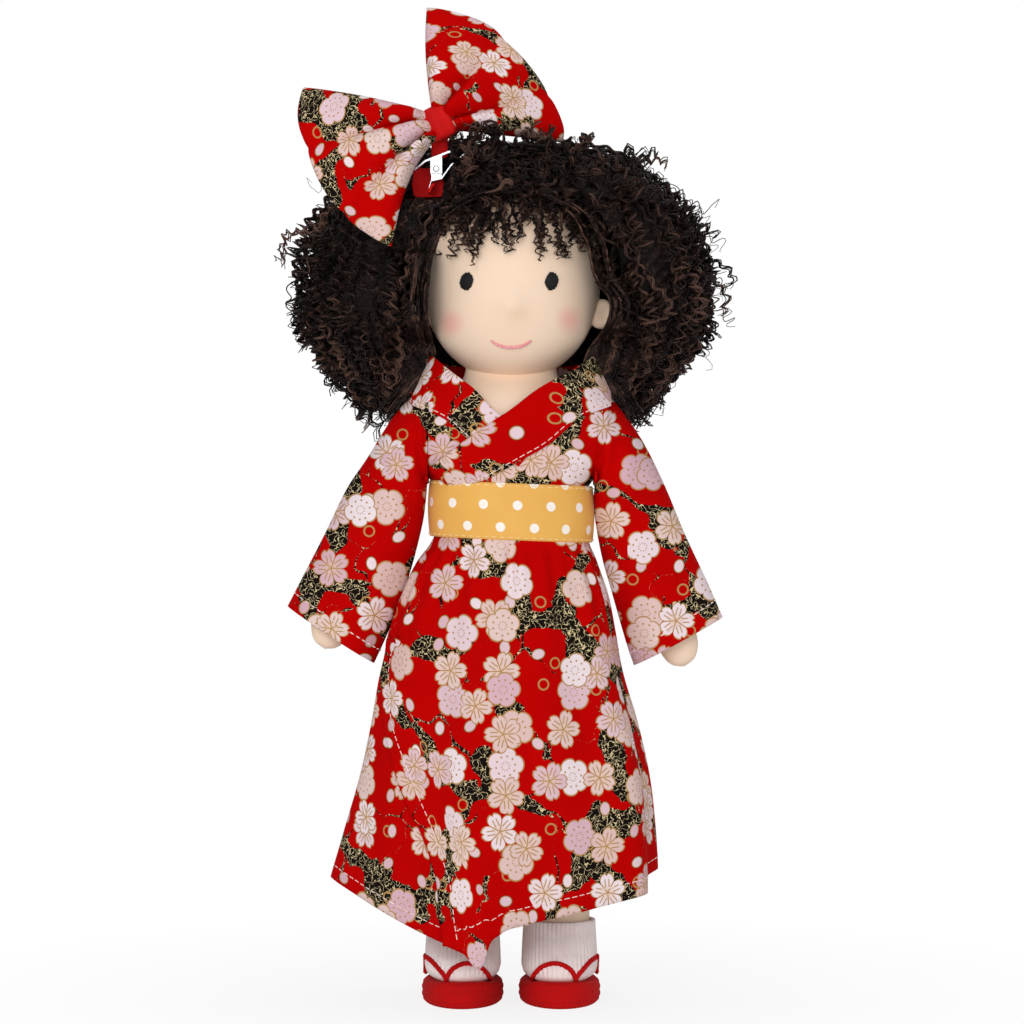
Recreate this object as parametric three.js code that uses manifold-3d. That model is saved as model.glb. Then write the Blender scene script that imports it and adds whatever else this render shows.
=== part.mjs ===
// A stuffed cloth doll in a wrapped kimono, with a curly wig, a clip-on bow, ribbed socks and sandals.
// Millimetres, +Z up. The face looks along -Y, the soles stand on z = 0, and left is the side at -X.
import * as THREE from 'three';
import { mergeVertices } from 'three/addons/utils/BufferGeometryUtils.js';
import Module from 'manifold-3d';

const wasm = await Module();
wasm.setup();

// Clearances
const seatGap = 0.4;
const jointGap = 0.6;
const frontBackShift = -10;
const cutMargin = 5;
const cutReach = 120;

// Cloth and stuffing
const clothThick = 1.2;
const skinThick = 1.2;
const layerStep = clothThick + seatGap;
const skinStep = skinThick + jointGap;
const ringSegments = 28;

// Sandals and socks: half width, toe and heel by height above the sole's top
const soleThick = 10;
const soleEdge = 2;
const soleHalfWidth = 18;
const toeReach = -37;
const heelReach = 25;
const sockWall = 1.4;
const sockTop = 36;
const sockStations = [
  { up: 0, half: 14.5, toe: -31, heel: 19 },
  { up: 5, half: 16.8, toe: -33.5, heel: 21.5 },
  { up: 10, half: 17, toe: -30.5, heel: 22 },
  { up: 15, half: 16.8, toe: -24, heel: 20.5 },
  { up: 20, half: 16.5, toe: -18.5, heel: 18 },
];
const ankleHalf = 16.4;
const strapThick = 2;
const strapWidth = 5;
const strapHeight = 15;
const postOffset = 5;
const strapBack = -9;

// Legs
const legSpacing = 22;
const legSegments = 12;
const hipHeight = 150;
const legTopRadius = 15.5;
const legHalfWidth = 16;
const calf = { z: 75, r: 15.5 };
const knee = { z: 98, r: 14.8 };
const thigh = { z: 128, r: 16 };

// Torso: half width and half depth by height
const torsoSegments = 16;
const torsoBottom = hipHeight + legTopRadius + seatGap;
const waistRise = 58;
const obiBottom = hipHeight + waistRise;
const obiWidth = 26;
const obiTop = obiBottom + obiWidth;
const waistWidth = 34.7;
const waistDepth = 24.7;
const shoulderRise = 23;
const shoulderHeight = obiTop + shoulderRise;
const shoulderPlane = 43;
const neckRadius = 17;
const neckTop = shoulderHeight + 34;
const bodyInset = 2 * layerStep;
const torsoStations = [
  { z: torsoBottom, w: 28, d: 17 },
  { z: torsoBottom + 5, w: 32.5, d: 21 },
  { z: (torsoBottom + obiBottom) / 2, w: 33, d: 22.5 },
  { z: obiBottom, w: waistWidth - bodyInset, d: waistDepth - bodyInset },
  { z: obiTop + 3, w: waistWidth - bodyInset, d: waistDepth - bodyInset },
  { z: shoulderHeight - 13, w: 38.6, d: 22 },
  { z: shoulderHeight - 2, w: 48, d: 22.5 },
  { z: shoulderHeight + 8, w: 46, d: 22 },
  { z: shoulderHeight + 15, w: 36, d: 21 },
  { z: shoulderHeight + 20, w: 27, d: 20 },
  { z: shoulderHeight + 24, w: 20.5, d: 18.5 },
  { z: shoulderHeight + 27, w: neckRadius, d: neckRadius },
  { z: neckTop, w: neckRadius, d: neckRadius },
];

// Kimono: outer half width at the right and left, and half depth, by height
const collarTop = shoulderHeight + 36;
const collarBackTop = collarTop - 5;
const waistSeam = (obiBottom + obiTop) / 2;
const hemLow = 16;
const kimonoStations = [
  { z: hemLow, right: 65, left: 78, d: 50 },
  { z: obiBottom - 163, right: 68, left: 80, d: 50 },
  { z: obiBottom - 133, right: 67, left: 73, d: 48 },
  { z: obiBottom - 105, right: 63.5, left: 66, d: 45 },
  { z: obiBottom - 82, right: 58, left: 61.5, d: 42 },
  { z: obiBottom - 58, right: 50.5, left: 55.5, d: 38 },
  { z: obiBottom - 40, right: 47, left: 51, d: 34 },
  { z: obiBottom - 23, right: 43, left: 45, d: 30.5 },
  { z: obiBottom - 8, right: 37.5, left: 38.5, d: 26.5 },
  { z: obiBottom, right: waistWidth, left: waistWidth, d: waistDepth },
  { z: obiTop + 1, right: waistWidth, left: waistWidth, d: waistDepth },
  { z: shoulderHeight - 14, right: 42, left: 42, d: 26.5 },
  { z: shoulderHeight - 2, right: 52, left: 52, d: 27.5 },
  { z: shoulderHeight + 10, right: 50, left: 50, d: 27.5 },
  { z: shoulderHeight + 22, right: 42, left: 42, d: 30 },
  { z: collarTop, right: 35.5, left: 35.5, d: 33 },
];
const foldCount = 6;
const foldDepth = 2;
const sideSeam = 0.25;

// Wrap: where the fronts cross, the over front's free edge and the hems
const crossing = { x: -4.6, z: shoulderHeight + 8 };
const collarTip = 32;
const collarBand = 24;
const overEdge = [[-56, 165], [-54, 145], [-49, 126], [-42, 102], [-35, 81], [-25, 57], [-20, 35], [-18, 21]];
const overHemLow = 19;
const overHemHigh = 60;
const underHemLow = 27;
const underHemHigh = 55;
const backHem = 45;
const underReach = 18;
const overEdgeTop = 173;

// Obi with its overlapping closure at the back
const obiThick = 2;
const stripThick = 0.7;
const obiStartStep = 5;
const obiOverlapSteps = 4;
const obiRampSteps = 3;

// Arms and sleeves, side view points as distance from the middle and height
const armRoot = { top: shoulderHeight + 12, bottom: shoulderHeight - 12, depth: 10 };
const elbow = { out: 63, z: shoulderHeight - 43, half: 10, depth: 10 };
const wrist = { out: 75, z: shoulderHeight - 80, half: 9.5, depth: 8.5 };
const palm = { out: 79, z: shoulderHeight - 94, half: 9.5, depth: 7 };
const handDrop = 12;
const limbSegments = 12;
const armTilt = 16;
const upperArm = { out: 52.2, z: shoulderHeight - 17, half: 8.5, depth: 9.5, tilt: 50 };
const sleeveRoot = { top: shoulderHeight + 20, bottom: shoulderHeight - 20, depth: 16 };
const sleeveMid = { outTop: 77, top: shoulderHeight - 35, outBottom: 48.6, bottom: shoulderHeight - 58 };
const sleeveDepth = 15;
const sleeveSegments = 16;
const cuffs = {
  left: { outTop: 102, top: shoulderHeight - 78, outBottom: 62.5, bottom: shoulderHeight - 104 },
  right: { outTop: 97, top: shoulderHeight - 83, outBottom: 56, bottom: shoulderHeight - 105 },
};
const sleeveRows = 6;

// Head and face
const chin = shoulderHeight + 25;
const headWidth = 82;
const headDepth = 84;
const headHeight = 96;
const cheekFullness = 2.3;
const crownFullness = 2.15;
const headSegments = 18;
const headRows = 11;
const eyeSpacing = 19.6;
const eyeRise = 43;
const eyeHeight = chin + eyeRise;
const eyeHalfWidth = 3;
const eyeHalfHeight = 4;
const mouthHalfWidth = 9;
const mouthRise = 15.5;
const mouthHeight = chin + mouthRise;
const mouthSag = 3;
const stitchThick = 1;
const earHeight = chin + 30;
const earHalf = { x: 6, y: 4, z: 6.5 };
const earForward = -4;

// Wig cap and curly hair: half width, half depth and middle by height
const capThick = 1.2;
const capTilt = 40;
const capFront = -28;
const capHeight = chin + 80;
const hairStations = [
  { z: chin - 18, w: 52, d: 20, y: 44 },
  { z: chin - 7, w: 70, d: 38, y: 29 },
  { z: chin + 8, w: 88, d: 52, y: 17 },
  { z: chin + 23, w: 99, d: 57, y: 13 },
  { z: chin + 43, w: 102, d: 57, y: 13 },
  { z: chin + 63, w: 94, d: 55, y: 12 },
  { z: chin + 78, w: 85, d: 52, y: 10 },
  { z: chin + 90, w: 74, d: 46, y: 8 },
  { z: chin + 101, w: 57, d: 37, y: 6 },
  { z: chin + 109, w: 33, d: 24, y: 4 },
  { z: chin + 115, w: 11, d: 8, y: 3 },
];
const curlLobes = 9;
const curlDepth = 0.03;
const faceHalfWidth = 39;
const hairline = chin + 79;
const crownSplit = chin + 84;
const backSplit = 24;
const fringeEnds = [
  [-33, 65], [-26, 55], [-20, 63], [-12, 52], [-5, 64], [3, 54], [11, 65], [19, 55], [25, 64],
].map(([x, rise]) => [x, chin + rise]);
const fringeThick = 3;

// Bow on its clip
const knot = { x: -32.2, y: -22, z: chin + 115, hx: 7.3, hy: 7, hz: 7.8 };
const wingThick = 3;
const pleats = 3;
const pleatDepth = 3;
const leftWing = {
  top: [-94, -27, chin + 131], bulge: [-92.5, -32, chin + 72], bottom: [-53, -40, chin + 57],
};
const rightWing = {
  top: [-38, -20, chin + 168], bulge: [13, -14, chin + 153.5], bottom: [24, -8, chin + 109],
};
const wingRoot = 4;
const clipPivot = { x: -33.7, z: chin + 94.5 };
const clipWidth = 9;
const clipFront = -21.5;
const clipSheet = 0.9;
const pinRadius = 1.1;
const pinOver = 0.5;
const springRadius = 2.1;
const springWire = 0.6;
const springTurns = 3;
const springPitch = 1.1;
const ribbonWidth = 7;

// Colours
const skinTone = { color: 0xf5dcc0, roughness: 0.95 };
const kimonoRed = { color: 0xcc0808, roughness: 0.9 };
const obiYellow = { color: 0xe9b04e, roughness: 0.85 };
const woolWhite = { color: 0xf1ebe0, roughness: 1 };
const sockWhite = { color: 0xeedfdf, roughness: 0.95 };
const sandalRed = { color: 0xcc0505, roughness: 0.95 };
const hairBrown = { color: 0x1e1414, roughness: 0.9 };
const eyeBlack = { color: 0x141212, roughness: 0.6 };
const lipPink = { color: 0xe79aa2, roughness: 0.8 };
const capBrown = { color: 0x2a1c1b, roughness: 1 };
const clipSteel = { color: 0xc9ccd0, roughness: 0.25, metalness: 1 };

const doll = new THREE.Group();
doll.position.y = frontBackShift;

// Basic builders
const point = (x, y, z) => new THREE.Vector3(x, y, z);
const mix = THREE.MathUtils.lerp;
const radians = THREE.MathUtils.degToRad;

function piece(name, shape, look) {
  const geometry = shape.isBufferGeometry ? shape : fromSolid(shape);
  geometry.computeVertexNormals();
  const mesh = new THREE.Mesh(geometry, new THREE.MeshStandardMaterial(look));
  mesh.name = name;
  doll.add(mesh);
}

function closedMesh(points, triangles) {
  let volume = 0;
  for (const [a, b, c] of triangles) {
    volume += points[a].dot(point().crossVectors(points[b], points[c]));
  }
  const geometry = new THREE.BufferGeometry().setFromPoints(points);
  geometry.setIndex(triangles.flatMap(([a, b, c]) => (volume > 0 ? [a, b, c] : [a, c, b])));
  return geometry;
}

function quadStrip(triangles, first, second, closed) {
  const count = first.length;
  for (let j = 0; j < (closed ? count : count - 1); j++) {
    const k = (j + 1) % count;
    triangles.push([first[j], first[k], second[k]], [first[j], second[k], second[j]]);
  }
}

// A solid through rings, closed at both ends
function ringSolid(rings) {
  const points = rings.flat();
  const triangles = [];
  const rows = rings.map((ring, i) => ring.map((p, j) => i * ring.length + j));
  rows.slice(1).forEach((row, i) => quadStrip(triangles, rows[i], row, true));
  for (const [row, ring, turned] of [[rows[0], rings[0], true], [rows.at(-1), rings.at(-1), false]]) {
    const middle = ring.reduce((sum, p) => sum.add(p), point()).divideScalar(ring.length);
    const centre = points.push(middle) - 1;
    row.forEach((a, j) => {
      const b = row[(j + 1) % row.length];
      triangles.push(turned ? [centre, b, a] : [centre, a, b]);
    });
  }
  return closedMesh(points, triangles);
}

// A wall between outer and inner rings, open at both ends
function ringTube(outer, inner) {
  const rings = [...outer, ...inner.toReversed()];
  const points = rings.flat();
  const triangles = [];
  const rows = rings.map((ring, i) => ring.map((p, j) => i * ring.length + j));
  rows.forEach((row, i) => quadStrip(triangles, row, rows[(i + 1) % rows.length], true));
  return closedMesh(points, triangles);
}

// A wall with a closed far end: the rings run from the open rim to the closed end
function ringCup(outer, inner) {
  return ringSolid([...inner.toReversed(), ...outer]);
}

// A cloth sheet between a front and a back grid of the same size
function sheetSolid(front, back) {
  const rows = front.length;
  const columns = front[0].length;
  const points = [...front.flat(), ...back.flat()];
  const triangles = [];
  const near = (i, j) => i * columns + j;
  const far = (i, j) => rows * columns + near(i, j);
  const line = (count, at) => Array.from({ length: count }, (_, k) => at(k));
  for (let i = 0; i + 1 < rows; i++) {
    quadStrip(triangles, line(columns, (j) => near(i, j)), line(columns, (j) => near(i + 1, j)), false);
    quadStrip(triangles, line(columns, (j) => far(i + 1, j)), line(columns, (j) => far(i, j)), false);
  }
  for (const [i, turned] of [[0, false], [rows - 1, true]]) {
    const pair = [line(columns, (j) => far(i, j)), line(columns, (j) => near(i, j))];
    quadStrip(triangles, pair[turned ? 1 : 0], pair[turned ? 0 : 1], false);
  }
  for (const [j, turned] of [[0, true], [columns - 1, false]]) {
    const pair = [line(rows, (i) => far(i, j)), line(rows, (i) => near(i, j))];
    quadStrip(triangles, pair[turned ? 1 : 0], pair[turned ? 0 : 1], false);
  }
  return closedMesh(points, triangles);
}

function toSolid(shape) {
  if (!shape.isBufferGeometry) return shape;
  let geometry = shape.clone();
  geometry.deleteAttribute('normal');
  geometry.deleteAttribute('uv');
  geometry = mergeVertices(geometry, 1e-4);
  return new wasm.Manifold(new wasm.Mesh({
    numProp: 3,
    vertProperties: new Float32Array(geometry.attributes.position.array),
    triVerts: new Uint32Array(geometry.index.array),
  }));
}

function fromSolid(solid) {
  const mesh = solid.getMesh();
  const geometry = new THREE.BufferGeometry();
  geometry.setAttribute('position', new THREE.BufferAttribute(mesh.vertProperties, 3));
  geometry.setIndex(new THREE.BufferAttribute(mesh.triVerts, 1));
  return geometry;
}

const join = (first, ...rest) => rest.reduce((solid, next) => solid.add(toSolid(next)), toSolid(first));
const cut = (first, ...rest) => rest.reduce((solid, next) => solid.subtract(toSolid(next)), toSolid(first));
const keep = (first, ...rest) => rest.reduce((solid, next) => solid.intersect(toSolid(next)), toSolid(first));

function block(low, high) {
  const box = new THREE.BoxGeometry(high[0] - low[0], high[1] - low[1], high[2] - low[2]);
  return box.translate((low[0] + high[0]) / 2, (low[1] + high[1]) / 2, (low[2] + high[2]) / 2);
}

// An outline in the front view, extruded from one depth to another
function frontPrism(outline, near, far) {
  const shape = new THREE.Shape(outline.map(([x, z]) => new THREE.Vector2(x, z)));
  const geometry = new THREE.ExtrudeGeometry(shape, { depth: far - near, bevelEnabled: false, steps: 1 });
  return geometry.rotateX(Math.PI / 2).translate(0, far, 0);
}

// An outline in the plan view, extruded upwards
function planPrism(outline, low, high) {
  const shape = new THREE.Shape(outline.map(([x, y]) => new THREE.Vector2(x, y)));
  const geometry = new THREE.ExtrudeGeometry(shape, { depth: high - low, bevelEnabled: false, steps: 1 });
  return geometry.translate(0, 0, low);
}

function ellipse(halfX, halfZ, x, z, count) {
  return Array.from({ length: count }, (_, k) => {
    const turn = (k / count) * 2 * Math.PI;
    return [x + halfX * Math.cos(turn), z + halfZ * Math.sin(turn)];
  });
}

// A curved band of constant width along a bowed line
function bandOutline(from, control, to, width, steps) {
  const curve = new THREE.QuadraticBezierCurve(...[from, control, to].map((p) => new THREE.Vector2(...p)));
  const sides = [[], []];
  for (let k = 0; k <= steps; k++) {
    const at = curve.getPoint(k / steps);
    const along = curve.getTangent(k / steps);
    sides[0].push([at.x - along.y * width / 2, at.y + along.x * width / 2]);
    sides[1].unshift([at.x + along.y * width / 2, at.y - along.x * width / 2]);
  }
  return sides.flat();
}

// Straight interpolation between stations by height
function station(list, z, key) {
  const upper = list.findIndex((s) => s.z >= z);
  if (upper <= 0) return list[upper < 0 ? list.length - 1 : 0][key];
  const [a, b] = [list[upper - 1], list[upper]];
  return mix(a[key], b[key], (z - a.z) / (b.z - a.z));
}

function ring(count, at) {
  return Array.from({ length: count }, (_, k) => at((k / count) * 2 * Math.PI));
}

// Sandals, socks and legs
function footRing(x, z, half, toe, heel, inset, count) {
  const middle = (toe + heel) / 2;
  const reach = (heel - toe) / 2 - inset;
  return ring(count, (t) => point(x + (half - inset) * Math.cos(t), middle + reach * Math.sin(t), z));
}

const soleTop = soleThick + seatGap;

function sockRings(x, inset, lift, count) {
  const foot = sockStations.map((s) => {
    const z = s.up === 0 ? soleTop + lift : soleTop + s.up;
    return footRing(x, z, s.half, s.toe, s.heel, inset, count);
  });
  return [...foot, footRing(x, sockTop, ankleHalf, -ankleHalf, ankleHalf, inset, count)];
}

function legRings(x, inset) {
  const under = sockWall + jointGap;
  const foot = sockRings(x, under + inset, under + inset, legSegments);
  const round = (z, r) => footRing(x, z, r, -r, r, inset, legSegments);
  const shank = [calf, knee, thigh].map((s) => round(s.z, s.r));
  const dome = [0, 0.5, 0.8, 0.97].map((share) => {
    const rise = share * (legTopRadius - inset);
    const depth = Math.sqrt((legTopRadius - inset) ** 2 - rise ** 2);
    const width = (legHalfWidth - inset) * Math.sqrt(1 - share ** 2);
    return ring(legSegments, (t) => point(x + width * Math.cos(t), depth * Math.sin(t), hipHeight + rise));
  });
  return [...foot, ...shank, ...dome];
}

for (const [side, sign] of [['left', -1], ['right', 1]]) {
  const x = sign * legSpacing;
  const soleLevels = [[0, soleEdge], [soleEdge, 0], [soleThick - soleEdge, 0], [soleThick, soleEdge / 2]];
  const soleRings = soleLevels.map(([z, inset]) => {
    return footRing(x, z, soleHalfWidth, toeReach, heelReach, inset, 20);
  });
  piece(`sandal_sole_${side}`, ringSolid(soleRings), sandalRed);

  const sockOuter = sockRings(x, 0, 0, legSegments);
  const sockInner = sockRings(x, sockWall, sockWall, legSegments);
  piece(`sock_${side}`, ringCup(sockOuter.toReversed(), sockInner.toReversed()), sockWhite);

  const strapRings = (grow) => sockRings(x, -grow, 0, legSegments);
  const strapShell = ringTube(strapRings(seatGap + strapThick), strapRings(seatGap));
  const post = [x + sign * postOffset, sockStations[1].toe + 1];
  const reach = ankleHalf + 2 * strapThick;
  const arms = [1, -1].map((way) => {
    const end = [x + way * reach, strapBack];
    const bow = [x + way * reach * 0.8, mix(post[1], strapBack, 0.25)];
    return planPrism(bandOutline(post, bow, end, strapWidth, 8), soleTop, soleTop + strapHeight);
  });
  piece(`sandal_strap_${side}`, keep(strapShell, join(...arms)), sandalRed);

  const skinOuter = legRings(x, 0);
  const skinInner = legRings(x, skinThick);
  piece(`leg_skin_${side}`, ringCup(skinOuter.toReversed(), skinInner.toReversed()), skinTone);
  piece(`leg_stuffing_${side}`, ringSolid(legRings(x, skinStep)), woolWhite);
}

// Torso with a round neck and flat shoulder ends
const shoulderSlab = block(
  [-shoulderPlane, -cutReach, 0],
  [shoulderPlane, cutReach, collarTop + 2 * cutMargin],
);

function torsoRings(inset) {
  return torsoStations.map((s, i) => {
    const z = i === 0 ? s.z + inset : s.z;
    return ring(torsoSegments, (t) => point((s.w - inset) * Math.cos(t), (s.d - inset) * Math.sin(t), z));
  });
}

const torsoSkin = ringCup(torsoRings(0).toReversed(), torsoRings(skinThick).toReversed());
piece('torso_skin', keep(torsoSkin, shoulderSlab), skinTone);
piece('torso_stuffing', keep(ringSolid(torsoRings(skinStep)), shoulderSlab), woolWhite);

// Kimono layers: every layer is cut from the same gathered surface, so that they nest
function kimonoRing(z, inset) {
  const right = station(kimonoStations, z, 'right') - inset;
  const left = station(kimonoStations, z, 'left') - inset;
  const depth = station(kimonoStations, z, 'd') - inset;
  const drop = Math.max(0, (obiBottom - z) / obiBottom);
  return ring(ringSegments, (t) => {
    const fold = foldDepth * drop * Math.cos(foldCount * t + drop);
    const wide = (Math.cos(t) > 0 ? right : left) + fold;
    return point(wide * Math.cos(t), (depth + fold) * Math.sin(t), z);
  });
}

function kimonoTube(levels, inset) {
  const layer = (depth) => levels.map((z) => kimonoRing(z, depth));
  return ringTube(layer(inset), layer(inset + clothThick));
}

const heights = kimonoStations.map((s) => s.z);
const bodiceLevels = [waistSeam + seatGap / 2, ...heights.filter((z) => z > waistSeam)];
const skirtLevels = [...heights.filter((z) => z < waistSeam), waistSeam - seatGap / 2];
const frontNear = -cutReach;
const frontFar = -sideSeam;

// The neck edge of each front runs from the collar tip through the crossing to the waist
const overSlope = (collarTip - crossing.x) / (collarTop - crossing.z);
const underSlope = (-collarTip - crossing.x) / (collarTop - crossing.z);
const edgeAt = (slope, z) => crossing.x + slope * (z - crossing.z);
const above = collarTop + cutMargin;
const below = waistSeam - cutMargin;
const edge = shoulderPlane - seatGap / 2;
const overFront = [
  [edgeAt(overSlope, below), below], [edge, below], [edge, above], [edgeAt(overSlope, above), above],
];
const underFront = [
  [-edge, below], [-edge, above], [edgeAt(underSlope, above), above],
  [edgeAt(underSlope, obiTop), obiTop], [edgeAt(underSlope, obiTop), below],
];
const frontPanel = (outline) => frontPrism(outline, frontNear, frontFar);
const bodiceSlab = block([-edge, -cutReach, 0], [edge, cutReach, above]);
const outerBodice = kimonoTube(bodiceLevels, 0);
piece('bodice_front_over', keep(outerBodice, frontPanel(overFront), bodiceSlab), kimonoRed);
const innerBodice = kimonoTube(bodiceLevels, layerStep);
piece('bodice_front_under', keep(innerBodice, frontPanel(underFront), bodiceSlab), kimonoRed);
const napeHalf = collarTip - 8;
const backOutline = (sign, low, middle) => [
  [sign * middle, low], [sign * middle, collarBackTop], [sign * napeHalf, collarBackTop],
  [sign * collarTip, above], [sign * edge, above], [sign * edge, low],
];
const leftBack = backOutline(-1, below, 0).slice(2);
const rightBack = backOutline(1, below, 0).slice(2).toReversed();
const backPanel = [...leftBack, ...rightBack];
piece('bodice_back', keep(outerBodice, frontPrism(backPanel, sideSeam, cutReach)), kimonoRed);

// Collar bands lie on the fronts along the neck edge and meet at the middle of the back
const collarLevels = heights.filter((z) => z > obiTop);
const bandRun = collarBand * Math.hypot(1, overSlope);
const bandFoot = obiTop + seatGap;
const overBand = [
  [edgeAt(overSlope, above), above], [edgeAt(overSlope, above) + bandRun, above],
  [edgeAt(overSlope, bandFoot) + bandRun, bandFoot], [edgeAt(overSlope, bandFoot), bandFoot],
];
const backBandLow = collarBackTop - collarBand;
const collarTube = kimonoTube(collarLevels, -clothThick - jointGap);
const overBandFront = frontPrism(overBand, frontNear, sideSeam);
const backBand = (sign) => frontPrism(backOutline(sign, backBandLow, sideSeam), 0, cutReach);
piece('collar_over', keep(collarTube, keep(join(overBandFront, backBand(1)), shoulderSlab)), kimonoRed);

const underRun = collarBand * Math.hypot(1, underSlope);
const bandGap = seatGap * Math.hypot(1, overSlope);
const underBand = [
  [edgeAt(underSlope, above), above], [edgeAt(underSlope, above) - underRun, above],
  [-edge, crossing.z + (-edge - crossing.x + underRun) / underSlope],
  [-edge, crossing.z - (edge + crossing.x) / overSlope + seatGap * 2],
  [crossing.x - bandGap, crossing.z],
];
const underBandFront = frontPrism(underBand, frontNear, sideSeam);
piece('collar_under', keep(collarTube, keep(join(underBandFront, backBand(-1)), shoulderSlab)), kimonoRed);

// Skirt panels: the over front closes across the under front, and both hang from the waist seam
const skirtTop = waistSeam + cutMargin;
const overSkirt = [
  [cutReach, skirtTop], [cutReach, overHemHigh], [overEdge.at(-1)[0], overHemLow],
  ...overEdge.toReversed(), [-cutReach, overEdgeTop], [-cutReach, skirtTop],
];
const underSkirt = [
  [-cutReach, skirtTop], [-cutReach, underHemHigh], [overEdge.at(-1)[0], underHemLow],
  [underReach, underHemLow], [underReach, skirtTop],
];
const backSkirt = [
  [-cutReach, skirtTop], [-cutReach, backHem], [cutReach, backHem], [cutReach, skirtTop],
];
const outerSkirt = kimonoTube(skirtLevels, 0);
piece('skirt_front_over', keep(outerSkirt, frontPanel(overSkirt)), kimonoRed);
piece('skirt_front_under', keep(kimonoTube(skirtLevels, layerStep), frontPanel(underSkirt)), kimonoRed);
piece('skirt_back', keep(outerSkirt, frontPrism(backSkirt, sideSeam, cutReach)), kimonoRed);

// Obi: a band that runs once round the waist and laps over its own end at the back
const ringStep = 360 / ringSegments;
const obiStart = obiStartStep * ringStep;
const obiOverlap = obiOverlapSteps * ringStep;
const obiRamp = obiRampSteps * ringStep;
const obiLift = obiThick + 2 * stripThick + 3 * seatGap;

function obiPatch(from, to, low, high, inner, outer) {
  const columns = Math.round((to - from) / ringStep);
  const grid = (offset) => [low, high].map((z) => Array.from({ length: columns + 1 }, (_, k) => {
    const turn = from + k * ringStep;
    const t = radians(turn);
    const out = offset(turn);
    const fit = station(kimonoStations, z, 'd');
    return point((waistWidth + out) * Math.cos(t), (fit + out) * Math.sin(t), z);
  }));
  return sheetSolid(grid(outer), grid(inner));
}

const obiEnd = obiStart + 360 + obiOverlap;
const lapStart = obiEnd - obiOverlap - obiRamp;
const lapShare = (turn) => THREE.MathUtils.smoothstep(turn, lapStart, lapStart + obiRamp);
const obiOffset = (turn) => seatGap + obiLift * lapShare(turn);
const obiBand = obiPatch(obiStart, obiEnd, obiBottom, obiTop, obiOffset, (t) => obiOffset(t) + obiThick);
piece('obi', obiBand, obiYellow);
const stripLow = obiBottom + 5;
const stripHigh = obiTop - 5;
const stripFrom = obiStart + ringStep;
const stripTo = obiStart + obiOverlap - ringStep;
const hookIn = seatGap + obiThick + seatGap;
const loopIn = hookIn + stripThick + seatGap;
const strip = (inner) => {
  return obiPatch(stripFrom, stripTo, stripLow, stripHigh, () => inner, () => inner + stripThick);
};
piece('obi_hook_strip', strip(hookIn), woolWhite);
piece('obi_loop_strip', strip(loopIn), woolWhite);

// Arms and hollow sleeves: each ring is set by its upper and lower point in the front view
function limbRing(sign, upper, lower, depth, inset, count) {
  const middle = [(upper[0] + lower[0]) / 2, (upper[1] + lower[1]) / 2];
  const span = Math.hypot(upper[0] - lower[0], upper[1] - lower[1]);
  const up = [(upper[0] - lower[0]) / span, (upper[1] - lower[1]) / span];
  const half = span / 2 - inset;
  return ring(count, (t) => point(
    sign * (middle[0] + up[0] * half * Math.cos(t)),
    (depth - inset) * Math.sin(t),
    middle[1] + up[1] * half * Math.cos(t),
  ));
}

const armFace = shoulderPlane + jointGap;

function armRings(sign, inset) {
  const hang = radians(armTilt);
  const tilted = (s) => {
    const tilt = radians(s.tilt ?? armTilt);
    const across = [s.half * Math.cos(tilt), s.half * Math.sin(tilt)];
    const upper = [s.out + across[0], s.z + across[1]];
    const lower = [s.out - across[0], s.z - across[1]];
    return limbRing(sign, upper, lower, s.depth, inset, limbSegments);
  };
  const tips = [[0.72, 0.75], [0.95, 0.3]].map(([drop, share]) => ({
    out: palm.out + (handDrop * drop - inset) * Math.sin(hang),
    z: palm.z - (handDrop * drop - inset) * Math.cos(hang),
    half: palm.half * share,
    depth: palm.depth * share,
  }));
  const rootEnds = [[armFace, armRoot.top], [armFace, armRoot.bottom]];
  const root = limbRing(sign, ...rootEnds, armRoot.depth, inset, limbSegments);
  const outer = [upperArm, elbow, wrist, palm, tips[0]].map(tilted);
  return inset > 0 ? [root, ...outer] : [root, ...outer, tilted(tips[1])];
}

function sleeveRings(sign, cuff, inset) {
  const rings = [];
  for (let k = 0; k <= sleeveRows; k++) {
    const share = k / sleeveRows;
    const bend = (a, b, c) => mix(mix(a, b, share), mix(b, c, share), share);
    const control = (a, b, c) => 2 * b - (a + c) / 2;
    const through = (a, b, c) => bend(a, control(a, b, c), c);
    const upper = [
      through(armFace, sleeveMid.outTop, cuff.outTop),
      through(sleeveRoot.top, sleeveMid.top, cuff.top),
    ];
    const lower = [
      through(armFace, sleeveMid.outBottom, cuff.outBottom),
      through(sleeveRoot.bottom, sleeveMid.bottom, cuff.bottom),
    ];
    const depth = mix(sleeveRoot.depth, sleeveDepth, share);
    rings.push(limbRing(sign, upper, lower, depth, inset, sleeveSegments));
  }
  return rings;
}

for (const [side, sign] of [['left', -1], ['right', 1]]) {
  const armSkin = ringCup(armRings(sign, 0), armRings(sign, skinThick));
  piece(`arm_skin_${side}`, armSkin, skinTone);
  piece(`arm_stuffing_${side}`, ringSolid(armRings(sign, skinStep)), woolWhite);
  const sleeve = ringTube(sleeveRings(sign, cuffs[side], 0), sleeveRings(sign, cuffs[side], clothThick));
  piece(`sleeve_${side}`, sleeve, kimonoRed);
}

// Head: a full-cheeked ball, recessed below for the neck
const headMiddle = chin + headHeight / 2;

function headSolid(grow) {
  const rings = [];
  for (let k = 1; k < headRows; k++) {
    const lift = -Math.cos((k / headRows) * Math.PI);
    const power = lift < 0 ? cheekFullness : crownFullness;
    const share = (1 - Math.abs(lift) ** power) ** (1 / power);
    const z = headMiddle + lift * (headHeight / 2 + grow);
    const halfX = (headWidth / 2 + grow) * share;
    const halfY = (headDepth / 2 + grow) * share;
    rings.push(ring(headSegments, (t) => point(halfX * Math.cos(t), halfY * Math.sin(t), z)));
  }
  return ringSolid(rings);
}

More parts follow.
